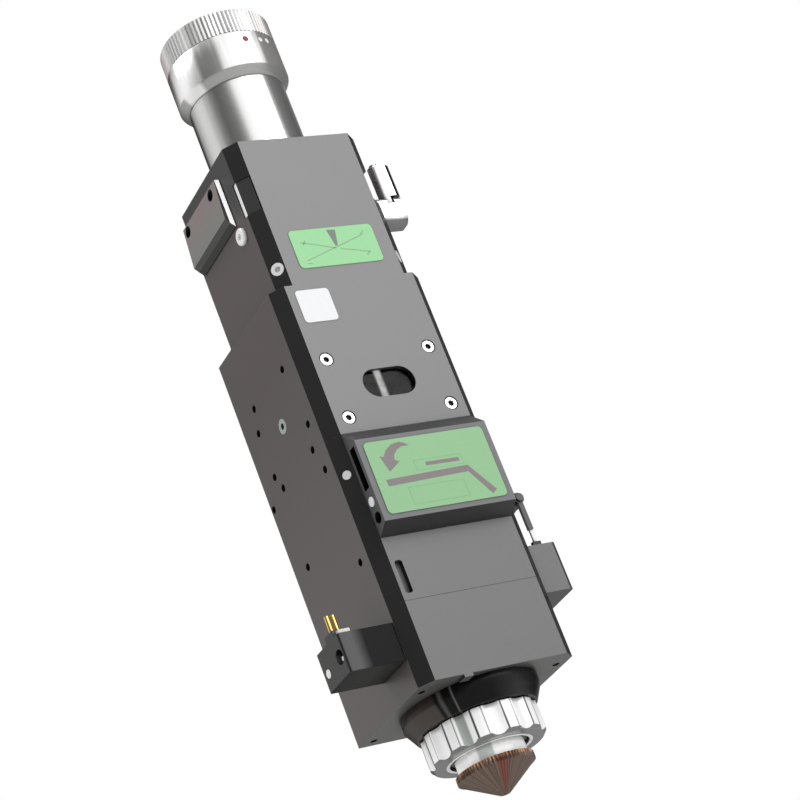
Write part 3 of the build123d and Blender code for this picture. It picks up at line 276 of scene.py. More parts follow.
mask = maths(wear, "MULTIPLY", maths(wear, "MULTIPLY", edge, rub), gi.outputs["Amount"])
mask = maths(wear, "MINIMUM", mask, 1.0)
wear.links.new(mix_colours(wear, mask, gi.outputs["Colour"], gi.outputs["Bare"]),
               go.inputs["Colour"])
wear.links.new(mask, go.inputs["Mask"])
print("Built", wear.name)

# %% [markdown]
# ### Recess shade
# Sockets and small holes look black, because little light gets into them. A bright wall would
# still shine on their floors. The Ambient Occlusion node measures how shut in a point is, and
# the colour is darkened by that.

# %% Build the recess shade
recess, gi, go = new_group(
    "Recess shade",
    [("Colour", "colour", (0.5, 0.5, 0.5, 1)), ("Reach", "value", 0.003), ("Power", "value", 1.5)],
    [("Colour", "colour")])
shut = add_node(recess, "ShaderNodeAmbientOcclusion", samples=8)
recess.links.new(gi.outputs["Reach"], shut.inputs["Distance"])
open_part = maths(recess, "POWER", shut.outputs["AO"], gi.outputs["Power"])
recess.links.new(vector_maths(recess, "SCALE", gi.outputs["Colour"], scale=open_part),
                 go.inputs["Colour"])
print("Built", recess.name)

# %% [markdown]
# ### Radial flutes
# The nozzle's cone and rim carry fine teeth that run towards the tip. As geometry they would be
# thousands of slivers. The angle round the beam axis, turned into a wave, lifts them with a bump.

# %% Build the radial flutes
flutes, gi, go = new_group(
    "Radial flutes",
    [("Count", "value", 60.0)],
    [("Height", "value"), ("Angle", "value")])
x, y = object_axes(flutes)[:2]
angle = maths(flutes, "ARCTAN2", y, x)
wave = maths(flutes, "SINE", maths(flutes, "MULTIPLY", angle, gi.outputs["Count"]))
flutes.links.new(maths(flutes, "MULTIPLY_ADD", wave, 0.5, 0.5), go.inputs["Height"])
flutes.links.new(angle, go.inputs["Angle"])
print("Built", flutes.name)

# %% [markdown]
# ### Fade along a direction
# Some surfaces change tone from one end to the other, and others end in a face at a known
# height. Painting them by hand would need unwrapping. This group measures how far along a
# direction a point lies, and turns that into a mask from 0 to 1.

# %% Build the fade
fade, gi, go = new_group(
    "Fade along a direction",
    [("Direction", "vector", (0, 0, 1)), ("From", "value", 0.0), ("To", "value", 0.01)],
    [("Mask", "value")])
reach = vector_maths(fade, "DOT_PRODUCT", object_place(fade), gi.outputs["Direction"])
fade.links.new(slope(fade, reach, gi.outputs["From"], gi.outputs["To"]), go.inputs["Mask"])
print("Built", fade.name)

# %% [markdown]
# ### Sector about the beam axis
# Round pieces carry narrow streaks that run up their side: a painted glint on the sensor block,
# a dark flank on the collar painted as a reflection, a rubbed streak on the nozzle. Each could be
# a strip of faces of its own.
# The angle round the axis gives them without cutting the mesh: the mask is 1 at the centre angle
# and falls to 0 at half the sector's width.

# %% Build the sector
sector, gi, go = new_group(
    "Sector about the axis",
    [("Centre", "value", 0.0), ("Half Width", "value", 10.0), ("Softness", "value", 0.5),
     ("Repeat", "value", 360.0)],
    [("Mask", "value")])
x, y = object_axes(sector)[:2]
angle = maths(sector, "DEGREES", maths(sector, "ARCTAN2", y, x))
off = maths(sector, "SUBTRACT", angle, gi.outputs["Centre"])
half_turn = maths(sector, "MULTIPLY", gi.outputs["Repeat"], 0.5)
minus_half = maths(sector, "MULTIPLY", gi.outputs["Repeat"], -0.5)
off = maths(sector, "ABSOLUTE", maths(sector, "WRAP", off, half_turn, minus_half))
inside = maths(sector, "SUBTRACT", 1.0, maths(sector, "DIVIDE", off, gi.outputs["Half Width"]))
inside = maths(sector, "DIVIDE", inside, gi.outputs["Softness"])
inside = maths(sector, "MINIMUM", maths(sector, "MAXIMUM", inside, 0.0), 1.0)
sector.links.new(inside, go.inputs["Mask"])
print("Built", sector.name)

# %% [markdown]
# ### Ring about the beam axis
# The lock nut's underside shows a bright turned ring round a dark gap. A second mesh could carry
# it, but it would lie in the nut's own face. A ring is told apart by its distance from the axis
# alone, so the mask is 1 between two radii and 0 elsewhere.

# %% Build the ring
round_ring, gi, go = new_group(
    "Ring about the axis",
    [("Inner", "value", 0.010), ("Outer", "value", 0.012)],
    [("Mask", "value")])
x, y = object_axes(round_ring)[:2]
squared = maths(round_ring, "MULTIPLY_ADD", y, y, maths(round_ring, "MULTIPLY", x, x))
distance = maths(round_ring, "SQRT", squared)
beyond = maths(round_ring, "GREATER_THAN", distance, gi.outputs["Inner"])
within = maths(round_ring, "LESS_THAN", distance, gi.outputs["Outer"])
round_ring.links.new(maths(round_ring, "MULTIPLY", beyond, within), go.inputs["Mask"])
print("Built", round_ring.name)

# %% [markdown]
# ## Materials
# Each finish is one material: a Principled shader, with the groups feeding its colour, its
# roughness and a Bump. What doesn't change over the surface is set on the shader itself.

# %% Helpers that start a material and place a group in it


def new_material(name, metallic=0.0, roughness=0.5, **sockets):
    """A material with its Principled shader; extra names are shader sockets."""
    material = bpy.data.materials.new(name)
    material.use_nodes = True
    shader = material.node_tree.nodes["Principled BSDF"]
    shader.inputs["Metallic"].default_value = metallic
    shader.inputs["Roughness"].default_value = roughness
    for key, value in sockets.items():
        shader.inputs[key.replace("_", " ")].default_value = value
    return material, material.node_tree, shader


def place_group(tree, group, **values):
    """The group as a node of this material, with its own input values."""
    node = tree.nodes.new("ShaderNodeGroup")
    node.node_tree = group
    for key, value in values.items():
        node.inputs[key.replace("_", " ")].default_value = value
    return node


print("Groups to place:", len(bpy.data.node_groups))

# %% Helpers for colours and for the shading at edges
MICRON = 0.000001


def rgb(red, green, blue):
    """A colour as four linear values."""
    return (red, green, blue, 1.0)


def grey(level):
    """A neutral grey as four linear values."""
    return rgb(level, level, level)


def bump(tree, shader, height, depth, strength):
    """A Bump between a height and the shader's normal; depth is in microns."""
    node = add_node(tree, "ShaderNodeBump", Strength=strength, Distance=depth * MICRON)
    tree.links.new(height, node.inputs["Height"])
    tree.links.new(node.outputs[0], shader.inputs["Normal"])


def soft_normal(tree, shader, width):
    """Rounds the shading along edges, and keeps the bump that is already there."""
    rounded = add_node(tree, "ShaderNodeBevel", samples=6, Radius=width * MM)
    uneven = shader.inputs["Normal"].links[0].from_node
    tree.links.new(rounded.outputs[0], uneven.inputs["Normal"])


print("Bumps are given in units of", MICRON, "m")

# %% [markdown]
# ### Where a tone lies
# Most of these tones are painted light and shade: painted shadows, highlights and reflections.
# Hardly any piece in the photo has one tone all over: it darkens towards one end, or carries a
# streak, or shows another tone below. Each could be a face with a material of its own. Three
# small records say it in a few numbers, and one function turns a list of them into nodes.
# Lengths are in millimetres. Angles are in degrees about the beam axis: 0 points to the right
# and -90 to the front.

# %% Records for a fade, a sector and a ring
Fade = namedtuple("Fade", "direction start end first last")
Sector = namedtuple("Sector", "centre half softness repeat", defaults=(360.0,))
Ring = namedtuple("Ring", "inner outer")
for record in (Fade, Sector, Ring):
    print(record.__name__, "has", ", ".join(record._fields))

# %% Helpers that turn tones into nodes


def fading(tree, tone):
    """A plain colour as it is, and a Fade as a mix between its two ends."""
    if not isinstance(tone, Fade):
        return tone
    run = place_group(tree, fade, Direction=tone.direction, From=tone.start * MM, To=tone.end * MM)
    return mix_colours(tree, run.outputs["Mask"], fading(tree, tone.first), fading(tree, tone.last))


def toned(tree, base, tones):
    """The base colour, changed where each tone's sector, ring or direction covers the surface.

    A tone is (where, colour), and for a direction also how nearly the surface has to face it
    for the mask to start and to be full.
    """
    colour = fading(tree, base)
    for where, tone, *span in tones:
        if isinstance(where, Sector):
            mask = place_group(tree, sector, Centre=where.centre, Half_Width=where.half,
                               Softness=where.softness, Repeat=where.repeat)
        elif isinstance(where, Ring):
            mask = place_group(tree, round_ring, Inner=where.inner * MM, Outer=where.outer * MM)
        else:
            mask = place_group(tree, facing, Direction=where, From=span[0], To=span[1])
        colour = mix_colours(tree, mask.outputs["Mask"], colour, fading(tree, tone))
    return colour


print("A tone can lie in a sector, in a ring or towards a direction")

# %% [markdown]
# ### Anodised aluminium
# The housing, its plates, the drawers and the catch are blasted, anodised aluminium. Each could
# be mixed by hand, node by node. One function makes all of them from a bevel colour and a tone
# for each direction, so a new finish takes a few lines.
# The tone for each direction is painted light and shade, and the recesses take painted shade.

# %% The recipe for anodised aluminium


def anodised(name, bevel, tones, rough, metallic=0.0, edge=0.25, soft=0.3, dark=0.6,
             crisp=(0.85, 0.95), shine=0.5):
    """Blasted, anodised aluminium: the bevel colour, and a tone of painted light and shade for each
    main direction.

    edge is how much the edges are worn, soft how far they are rounded in millimetres, dark how
    strongly the painted shade darkens recesses, crisp how squarely a face has to point along a
    direction to take its tone, and shine how strong the gloss is.
    """
    material, tree, shader = new_material(name, metallic, rough, Specular_IOR_Level=shine)
    colour = toned(tree, bevel, [(where, tone, *crisp) for where, tone in tones])
    worn = place_group(tree, wear, Bare=rgb(0.45, 0.44, 0.43), Amount=edge)
    holes = place_group(tree, recess, Reach=4.0 * MM, Power=dark)
    blasted = place_group(tree, grain, Clouds=0.10, Roughness=rough, Spread=0.10)
    feed(tree, colour, worn.inputs["Colour"])
    tree.links.new(worn.outputs["Colour"], holes.inputs["Colour"])
    tree.links.new(holes.outputs["Colour"], blasted.inputs["Colour"])
    tree.links.new(blasted.outputs["Colour"], shader.inputs["Base Color"])
    tree.links.new(blasted.outputs["Roughness"], shader.inputs["Roughness"])
    bump(tree, shader, blasted.outputs["Height"], 40, 0.35)
    if soft:
        soft_normal(tree, shader, soft)
    return material


print("Recipe for anodised aluminium: worn edges, dark recesses, blasted grain")

# %% [markdown]
# ### Housing and plates
# The housing is black anodised all over, and its tones are painted light and shade. Its broad
# sides take a warm painted shade that grows paler downwards, its front plates a grey painted
# light, and every bevel is deep black as a painted dark reflection. A black line round each plate
# could be a mesh of its own. The bevels face other ways than the plate, so the recipe's bevel
# colour draws it.

# %% Name the directions and the painted shade of the sides
front, left, right, under = (0, -1, 0), (-1, 0, 0), (1, 0, 0), (0, 0, -1)
above, behind = (0, 0, 1), (0, 1, 0)
# Painted dark reflection on the bevels, painted shade on the sides and the underside.
painted_dark_bevel = rgb(0.014, 0.014, 0.015)
warm_side_shade = rgb(0.059, 0.041, 0.041)
low_side_shade = rgb(0.103, 0.088, 0.087)
underside_shade = rgb(0.082, 0.082, 0.077)
side_shade_fade = Fade(above, 190.0, 70.0, warm_side_shade, low_side_shade)
# Painted shade: the left side turns black from 267 mm up.
left_side_shade = Fade(above, 256.0, 267.0, side_shade_fade, rgb(0.004, 0.002, 0.002))
print("The sides grow paler from", side_shade_fade.start, "down to", side_shade_fade.end, "mm")

# %% Mix the plates and the body
# Painted light and shade: the plates and the body take a tone for each direction.
plate_finish = anodised(
    "plate_grey_painted_light", painted_dark_bevel, [(front, grey(0.212)), (above, warm_side_shade), (under, underside_shade)],
    rough=0.42, metallic=0.1, edge=0.0, soft=0.15)
cover_plate_finish = anodised(
    "cover_grey_painted_light", painted_dark_bevel,
    [(front, grey(0.165)), (above, grey(0.12)), (under, grey(0.10))],
    rough=0.42, metallic=0.1, edge=0.0, soft=0.15)
body_finish = anodised(
    "black_anodised_body", painted_dark_bevel,
    [(left, left_side_shade), (right, side_shade_fade), (under, underside_shade), (above, warm_side_shade),
     (behind, side_shade_fade)],
    rough=0.36, edge=0.1)
print("Mixed", plate_finish.name, "and", body_finish.name)

# %% [markdown]
# ### Raised cover and inner blocks
# The cover is dark grey outside, its front and side toned as painted light and shade, and its
# slot and hole are painted black as shade. They could be left to the light, but a bright studio
# shines into them. Two fades end each outer tone just below its face. The blocks inside the head
# are plain black.

# %% Mix the raised cover and the inner black
cover_end, cover_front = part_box("raised_cover")[0][0] / MM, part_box("raised_cover")[0][1] / MM
# Painted shade: the slot's walls and the hole's floor turn black below the outer faces.
cover_left_shade = Fade(right, cover_end + 1.0, cover_end + 1.2, rgb(0.06, 0.058, 0.058), grey(0.001))
cover_face_shade = Fade(behind, cover_front + 0.5, cover_front + 0.6, rgb(0.16, 0.16, 0.165),
                       grey(0.001))
cover_finish = anodised(
    "raised_cover", rgb(0.022, 0.022, 0.023), [(front, cover_face_shade), (left, cover_left_shade)],
    rough=0.42, edge=0.0, soft=0.3, dark=2.0)
black_finish = anodised("black_anodised_block", rgb(0.02, 0.019, 0.019), [], rough=0.34)
print("The cover's front lies at y =", round(cover_front, 1), "mm")

# %% [markdown]
# ### Sensor block and lock bar
# The block above the nut is a glossier black. Thin painted glints run down its side, a brown flank
# and a grey band on it are painted reflections, and its underside takes a tone of painted light.
# A lamp could make the glints, but they would wander with every view. As sectors about the beam
# axis they stay in place. The lock bar is dark grey, and its left end is a painted highlight.

# %% Mix the sensor block and the lock bar
# Painted reflections: a brown flank, two glints and a grey band; painted light on the underside.
sensor_flank_reflection = Fade(above, 36.0, 37.0, rgb(0.072, 0.064, 0.058), rgb(0.036, 0.027, 0.023))
sensor_painted_light = [
    (Sector(168.0, 45.0, 0.06), sensor_flank_reflection),
    (under, rgb(0.030, 0.026, 0.024)),
    (Sector(-143.0, 3.0, 1.0), rgb(0.09, 0.088, 0.084)),
    (Sector(-132.6, 1.3, 1.0), rgb(0.13, 0.125, 0.12)),
    (Sector(-75.0, 26.0, 1.0), grey(0.030)),
]
sensor_finish = anodised(
    "glossy_black_sensor", grey(0.005), sensor_painted_light,
    rough=0.25, edge=0.0, soft=0.0, dark=0.0, crisp=(0.78, 0.84), shine=0.12)
# Painted highlight: the bar's left end is near white.
bar_finish = anodised("dark_grey_bar", rgb(0.040, 0.040, 0.041), [(left, grey(0.96))],
                      rough=0.32, edge=0.0)
print("Tones on the sensor block:", len(sensor_painted_light))

# %% [markdown]
# ### Bright strip of the drawer plate
# The drawer's plate shows a polished strip along its front, painted as white as the ground: a
# painted highlight. As a mirror it would turn dark when something dark stands before it. A pale
# tone with a little light of its own stays white, a glow of painted light, and both end just
# behind the front face. Its underside takes a tone of painted light and shade.

# %% Mix the bright strip
edge_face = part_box("drawer_plate")[0][1] / MM
# Painted highlight on the strip's face, and painted light and shade on the underside.
pale_edge_highlight = Fade(behind, edge_face + 0.1, edge_face + 0.2, grey(0.97), grey(0.004))
edge_finish = anodised(
    "edge_plate_painted_highlight", grey(0.02), [(front, pale_edge_highlight), (under, rgb(0.062, 0.062, 0.057))],
    rough=0.4, edge=0.0, soft=0.0, dark=0.0)
edge_tree = edge_finish.node_tree
edge_shader = edge_tree.nodes["Principled BSDF"]
# Painted light: the strip's face glows.
lit_face = Fade(behind, edge_face + 0.1, edge_face + 0.2, grey(0.5), grey(0.0))
lit_edge = toned(edge_tree, grey(0.0), [(front, lit_face, 0.85, 0.95)])
edge_tree.links.new(lit_edge, edge_shader.inputs["Emission Color"])
edge_shader.inputs["Emission Strength"].default_value = 1.0
print("The strip's face lies at y =", round(edge_face, 1), "mm")

# %% [markdown]
# ### Drawer fronts and catch
# The upper drawer ends in a wedge, the lower one in a handle with a catch above it. All three
# change tone at a known height, as painted light and shade: the wedge slowly, the handle and the
# catch at an edge. The handle's front turns black above its edge, and its underside and right side
# take painted shade. The catch is painted white below as a reflection, and its left side paler as
# a highlight. A second material could do it, but a fade needs no sorting of faces.

# %% Mix the drawer fronts and the catch
# Painted light: the wedge's face takes a lit tone that fades with height.
wedge_painted_light = Fade(above, 278.0, 262.0, rgb(0.215, 0.160, 0.162), rgb(0.175, 0.180, 0.165))
wedge_finish = anodised(
    "wedge_painted_light", rgb(0.052, 0.052, 0.048), [((-1, 0, 0.06), wedge_painted_light)],
    rough=0.30, edge=0.0, soft=0.0, dark=2.5)
# Painted shade: the handle's front turns black above its edge; underside and right side darker.
handle_front_shade = Fade(above, 90.4, 90.8, grey(0.17), grey(0.01))
handle_finish = anodised(
    "drawer_handle", grey(0.02), [(front, handle_front_shade), (under, grey(0.05)), (right, grey(0.05))],
    rough=0.42, edge=0.0, soft=0.1, crisp=(0.985, 0.997))
# Painted reflection: the catch is white below its edge; a painted highlight on its left side.
catch_painted_light = Fade(above, 97.4, 97.7, grey(0.96), rgb(0.095, 0.095, 0.097))
catch_finish = anodised(
    "satin_catch", grey(0.03), [(front, catch_painted_light), (left, grey(0.30))],
    rough=0.42, edge=0.0, soft=0.1)
print("Anodised finishes:", len(bpy.data.materials))

# %% [markdown]
# ### Bare metals
# The collar and the tube are satin turned aluminium, the lock nut and the flag are brighter, and
# the screws are plain steel. A clean metal only mirrors the studio, so its streaks of reflection
# are painted as tones of their own, and the rest is colour and roughness.

# %% The recipe for bare metal


def bare_metal(name, colour, rough, lines=900.0, spread=0.1, depth=10, metallic=1.0, tones=(),
               dark=1.0, rim=0.0, painted_glow=0.0):
    """A metal with turned lines about the beam axis, with painted shade in its sockets and a
    painted dark reflection at its rim.

    lines is how many turned lines there are to a metre, spread how far they change the
    roughness, and depth their height in microns. dark is how strongly the painted shade darkens
    sockets, rim how much the painted dark reflection darkens the outline, and the last argument a
    faint glow in the metal's own colour: painted light that keeps polished pieces white.
    """
    material, tree, shader = new_material(name, metallic, rough)
    shown = toned(tree, colour, tones)
    # Painted dark reflection: the outline darkens where the surface turns away.
    if rim:
        grazing = add_node(tree, "ShaderNodeLayerWeight", Blend=0.5)
        turned_away = slope(tree, grazing.outputs["Facing"], 0.72, 0.97, high=rim)
        shown = mix_colours(tree, turned_away, shown, grey(0.06))
    holes = place_group(tree, recess, Reach=2.5 * MM, Power=dark)
    feed(tree, shown, holes.inputs["Colour"])
    tree.links.new(holes.outputs["Colour"], shader.inputs["Base Color"])
    # Painted light: the metal glows faintly in its own colour.
    if painted_glow:
        tree.links.new(holes.outputs["Colour"], shader.inputs["Emission Color"])
        shader.inputs["Emission Strength"].default_value = painted_glow
    rings = place_group(tree, turned, Lines=lines, Roughness=rough, Spread=spread)
    tree.links.new(rings.outputs["Roughness"], shader.inputs["Roughness"])
    bump(tree, shader, rings.outputs["Height"], depth, 0.5)
    return material


print("Recipe for bare metal: turned lines, dark sockets, dark rim")

# %% Mix the collar and the tube
# Painted reflections: streaks of the studio round the collar and the tube, and painted light and
# shade on the collar's faces above and below.
collar_painted_reflections = [
    (Sector(-52.0, 25.0, 0.15), rgb(0.46, 0.44, 0.43)),
    (Sector(-134.0, 14.5, 0.35), rgb(0.42, 0.42, 0.41)),
    (Sector(150.0, 27.0, 0.4), rgb(0.46, 0.40, 0.40)),
    (under, rgb(0.44, 0.44, 0.435), 0.2, 0.5),
    (Sector(-164.0, 17.0, 0.3), rgb(0.97, 0.965, 0.965)),
    (above, grey(0.80), 0.8, 0.95),
]
collar_finish = bare_metal("satin_collar", rgb(0.95, 0.945, 0.945), 0.26, lines=700.0, spread=0.06,
                           depth=3, metallic=0.6, tones=collar_painted_reflections, rim=0.6)
tube_painted_reflections = [(Sector(-172.0, 27.0, 0.5), rgb(0.62, 0.62, 0.61)),
              (Sector(156.0, 16.0, 0.6), grey(0.30))]
tube_finish = bare_metal("satin_tube", rgb(0.95, 0.945, 0.94), 0.20, lines=700.0, spread=0.05,
                         depth=3, tones=tube_painted_reflections)
print("Streaks on the collar:", sum(isinstance(where, Sector) for where, *_ in collar_painted_reflections))

# %% [markdown]
# ### Lock nut and nozzle holder
# Both are polished and stand close to the white ground, and both glow faintly as painted light. A
# grey streak on each is a painted reflection. The nut's twelve scallops each carry a dark and a
# grey line of painted shade: two sectors that repeat every 30 degrees draw all of them. Its
# underside is painted grey as shade, with a bright ring round the gap, and the gap is painted
# black as shade.

# %% Mix the lock nut and the nozzle holder
# Painted light: a reflected streak, shaded lines on the scallops, a shaded underside and top, and a
# black gap painted as shade.
nut_painted_light = [
    (Sector(-137.0, 5.6, 0.3), rgb(0.36, 0.39, 0.37)),
    (Sector(24.5, 1.5, 0.6, 30.0), grey(0.07)),
    (Sector(5.2, 0.9, 0.8, 30.0), grey(0.30)),
    (under, grey(0.16), 0.35, 0.6),
    (Ring(16.6, 18.0), grey(0.80)),
    (Ring(0.0, 16.6), grey(0.02)),
    (above, grey(0.80), 0.8, 0.95),
]
nut_finish = bare_metal("bright_nut", grey(0.97), 0.22, lines=500.0, spread=0.08, depth=3,
                        metallic=0.1, tones=nut_painted_light, dark=1.2, rim=0.9, painted_glow=0.15)
holder_painted_reflection = [(Sector(-127.0, 15.0, 0.3), rgb(0.50, 0.54, 0.52))]
holder_finish = bare_metal("bright_holder", grey(0.97), 0.22, lines=500.0, spread=0.06, depth=3,
                           metallic=0.2, tones=holder_painted_reflection, dark=0.4, rim=0.5, painted_glow=0.30)
print("Tones on the nut:", len(nut_painted_light), "and on the holder:", len(holder_painted_reflection))

# %% [markdown]
# ### Screws and flag
# The big button heads are bright on top, and their sockets are painted black as shade. The screws
# of the left side are dull. One steel for all would be shorter, but the photo tells them apart.
# The flag is polished, with a flank painted dark as a reflection and an underside painted dark as
# shade.

# %% Mix the screws
screw_finish = bare_metal("screw_steel", grey(0.80), 0.30, lines=1500.0, depth=4, metallic=0.4,
                          dark=3.0)
side_screw_finish = bare_metal("side_screw_steel", rgb(0.36, 0.40, 0.38), 0.34, lines=1500.0,
                               depth=4, metallic=0.2, dark=2.0)
head_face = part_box("cover_screws")[0][1] / MM
# Painted shade: faces behind the head's front, in the sockets, turn black.
head_and_socket_shade = Fade(behind, head_face + 0.5, head_face + 0.7, grey(0.90), grey(0.004))
plate_screw_finish = bare_metal("plate_screws", head_and_socket_shade, 0.25, lines=1500.0, depth=2,
                                metallic=0.5, dark=0.5)
print("The button heads stand out to y =", round(head_face, 1), "mm")

# %% Mix the swinging flag
# Painted shade on the underside, and a painted dark reflection on the bevelled flank.
flag_painted_dark = [(under, grey(0.05), 0.25, 0.6), ((0.54, -0.84, 0), grey(0.045), 0.90, 0.94)]
flag_finish = bare_metal("flag_metal", grey(0.90), 0.14, lines=400.0, spread=0.05, depth=2,
                         metallic=0.9, tones=flag_painted_dark, dark=1.6, rim=0.9)
base_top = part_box("flag_base")[1][2] / MM
# Painted shade: the base's front turns black just below its top, and its underside is grey.
base_front_shade = Fade(above, base_top - 0.9, base_top - 0.6, grey(0.92), grey(0.04))
base_painted_shade = [(front, base_front_shade, 0.85, 0.95), (under, grey(0.22), 0.15, 0.5)]
flag_base_finish = bare_metal("flag_base_metal", grey(0.92), 0.2, lines=400.0, spread=0.05, depth=2,
                              metallic=0.6, tones=base_painted_shade, dark=1.6, rim=0.6)
print("The flag's base ends at", round(base_top, 1), "mm")

# %% Mix the small screws, brass, gold and ground steel
strip_screw_finish = bare_metal("strip_screw_steel", grey(0.95), 0.25, lines=1500.0, depth=2,
                                metallic=0.2, dark=0.15)
dark_screw_finish = bare_metal("blackened_screws", rgb(0.07, 0.07, 0.072), 0.34, lines=1500.0,
                               depth=4)
brass_finish = bare_metal("turned_brass", rgb(0.68, 0.47, 0.20), 0.24)
gold_finish = bare_metal("gold_plate", rgb(0.85, 0.62, 0.18), 0.18, lines=1500.0, spread=0.06,
                         depth=2)
ground_finish = bare_metal("ground_steel", rgb(0.28, 0.28, 0.29), 0.30, depth=4)
print("Anodised finishes and bare metals:", len(bpy.data.materials))

# %% [markdown]
# ### Copper nozzle
# The nozzle is turned copper, browned by heat, with a red streak where the tarnish is rubbed away.
# The teeth of its rim carry gold on their crests as a painted highlight. A picture wrapped round
# the cone would pinch at its tip. The flutes group gives the teeth, and a noise read along the
# angle gives the streaks.

# %% Mix the copper
copper_finish, tree, shader = new_material("heated_copper", metallic=0.6, roughness=0.40)
teeth = place_group(tree, flutes, Count=72.0)
streak = add_node(tree, "ShaderNodeTexNoise", noise_dimensions="1D", Scale=9.0, Detail=4.0)
tree.links.new(teeth.outputs["Angle"], streak.inputs["W"])
browned = mix_colours(tree, teeth.outputs["Height"], rgb(0.085, 0.052, 0.042),
                      rgb(0.15, 0.098, 0.08))
mottled = mix_colours(tree, slope(tree, streak.outputs[0], 0.42, 0.62), browned,
                      rgb(0.17, 0.125, 0.085))
rubbed = place_group(tree, sector, Centre=-108.0, Half_Width=11.0, Softness=0.7)
red = mix_colours(tree, teeth.outputs["Height"], rgb(0.13, 0.035, 0.028), rgb(0.24, 0.07, 0.05))
mottled = mix_colours(tree, rubbed.outputs["Mask"], mottled, red)
nozzle_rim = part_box("nozzle_holder")[0][2]
rim_band = place_group(tree, fade, Direction=above, From=nozzle_rim - 1.6 * MM,
                       To=nozzle_rim - 1.0 * MM)
# Painted highlight: the rim's teeth are gold on their crests.
rim_teeth_highlight = mix_colours(tree, teeth.outputs["Height"], rgb(0.13, 0.04, 0.03), rgb(0.52, 0.30, 0.15))
tree.links.new(mix_colours(tree, rim_band.outputs["Mask"], mottled, rim_teeth_highlight),
               shader.inputs["Base Color"])
bump(tree, shader, teeth.outputs["Height"], 120, 0.5)
print("Mixed", copper_finish.name)

# %% [markdown]
# ### Printed film and paint
# The labels are printed film under a clear coat, so they get a thin gloss. Their green could be
# a picture, but a flat colour with faint clouds is what a print shop lays down. With less coat or
# none, the same recipe gives ink, paint, plastic and ceramic.

# %% The recipe for printed film


def film(name, colour, coat=0.35, rough=0.45):
    """A flat colour with faint clouds; coat is how strong the clear coat over it is."""
    material, tree, shader = new_material(name, 0.0, rough, Coat_Weight=coat, Coat_Roughness=0.18)
    print_grain = place_group(tree, grain, Colour=colour, Clouds=0.05, Roughness=rough, Spread=0.06,
                              Grain=900.0)
    tree.links.new(print_grain.outputs["Colour"], shader.inputs["Base Color"])
    tree.links.new(print_grain.outputs["Roughness"], shader.inputs["Roughness"])
    bump(tree, shader, print_grain.outputs["Height"], 10, 0.2)
    return material


print("Recipe for film: a flat colour under a clear coat")

# %% Mix the films, inks and paints
upper_film = film("upper_label_film", rgb(0.265, 0.645, 0.275))
cover_film = film("cover_label_film", rgb(0.225, 0.49, 0.22))
white_film = film("white_label_film", rgb(0.84, 0.85, 0.86))
print_ink = film("label_ink", rgb(0.19, 0.155, 0.16), coat=0.2)
faint_ink = film("faint_label_ink", rgb(0.20, 0.44, 0.20), coat=0.2)
beam_ink = film("beam_label_ink", rgb(0.21, 0.40, 0.22), coat=0.2)
cone_ink = film("cone_label_ink", rgb(0.15, 0.17, 0.15), coat=0.2)
red_paint = film("red_mark", rgb(0.27, 0.004, 0.03), coat=0.0)
white_paint = film("white_mark", grey(0.85), coat=0.2)
print("Materials so far:", len(bpy.data.materials))

# %% [markdown]
# ### Plastics, ceramic and rubber
# The connector box is moulded black plastic. It is matt, so it could be one flat black, but its
# front is painted darker to the right and its underside paler to the right, as shade, which two
# fades give, and its end face takes a lit grey of painted light. The ceramic ring is off-white,
# and painted black as shade where it shows in the narrow gap round the nozzle's holder.

# %% Mix the plastics
moulded = film("moulded_black", rgb(0.022, 0.022, 0.023), coat=0.0, rough=0.42)
# Painted shade on the box's front and underside; painted light on its end face.
box_front_shade = Fade(right, -54.5, -49.5, grey(0.12), grey(0.006))
box_under_shade = Fade(right, -58.0, -46.0, grey(0.004), rgb(0.028, 0.028, 0.026))
box_plastic = anodised(
    "moulded_connector", grey(0.02),
    [(front, box_front_shade), (under, box_under_shade), (left, rgb(0.075, 0.074, 0.073))],
    rough=0.5, edge=0.0, soft=0.4, dark=0.9, crisp=(0.80, 0.95), shine=0.15)
insulator = film("white_insulator", rgb(0.80, 0.80, 0.78), coat=0.0, rough=0.5)
print("Mixed", moulded.name, "and", box_plastic.name)

# %% Mix the ceramic, the rubber and the lamp
alumina = film("alumina", rgb(0.82, 0.79, 0.74), coat=0.0, rough=0.35)
tree = alumina.node_tree
shader = tree.nodes["Principled BSDF"]
ceramic_colour = shader.inputs["Base Color"].links[0].from_socket
# Painted shade: the ceramic turns black inside the narrow gap.
gap = place_group(tree, round_ring, Inner=14.0 * MM, Outer=17.0 * MM)
tree.links.new(mix_colours(tree, gap.outputs["Mask"], ceramic_colour, grey(0.02)),
               shader.inputs["Base Color"])
seal_rubber = film("seal_rubber", grey(0.02), coat=0.0, rough=0.6)
lamp_finish = film("lamp_lens", rgb(0.86, 0.87, 0.88), coat=0.5, rough=0.3)
print("Mixed", alumina.name, "and", seal_rubber.name)

# %% [markdown]
# ### Window panes
# The lenses and windows are coated glass: Metallic and Transmission stay single values, and only
# the roughness is smeared. The focus window is darker, and a pale streak of painted reflection
# shows in it. A bright rod behind it could give the streak, but it would slide with the view, so
# the pane glows there as painted light.

# %% Mix the clear glass
pane_glass, tree, shader = new_material("coated_glass", 0.0, 0.03, Transmission_Weight=0.92,
                                        Base_Color=rgb(0.86, 0.93, 0.92), IOR=1.48)
scuff = add_node(tree, "ShaderNodeTexNoise", Scale=220.0, Detail=4.0)
tree.links.new(object_place(tree), scuff.inputs["Vector"])
tree.links.new(slope(tree, scuff.outputs[0], low=0.02, high=0.09), shader.inputs["Roughness"])
print("Mixed", pane_glass.name)

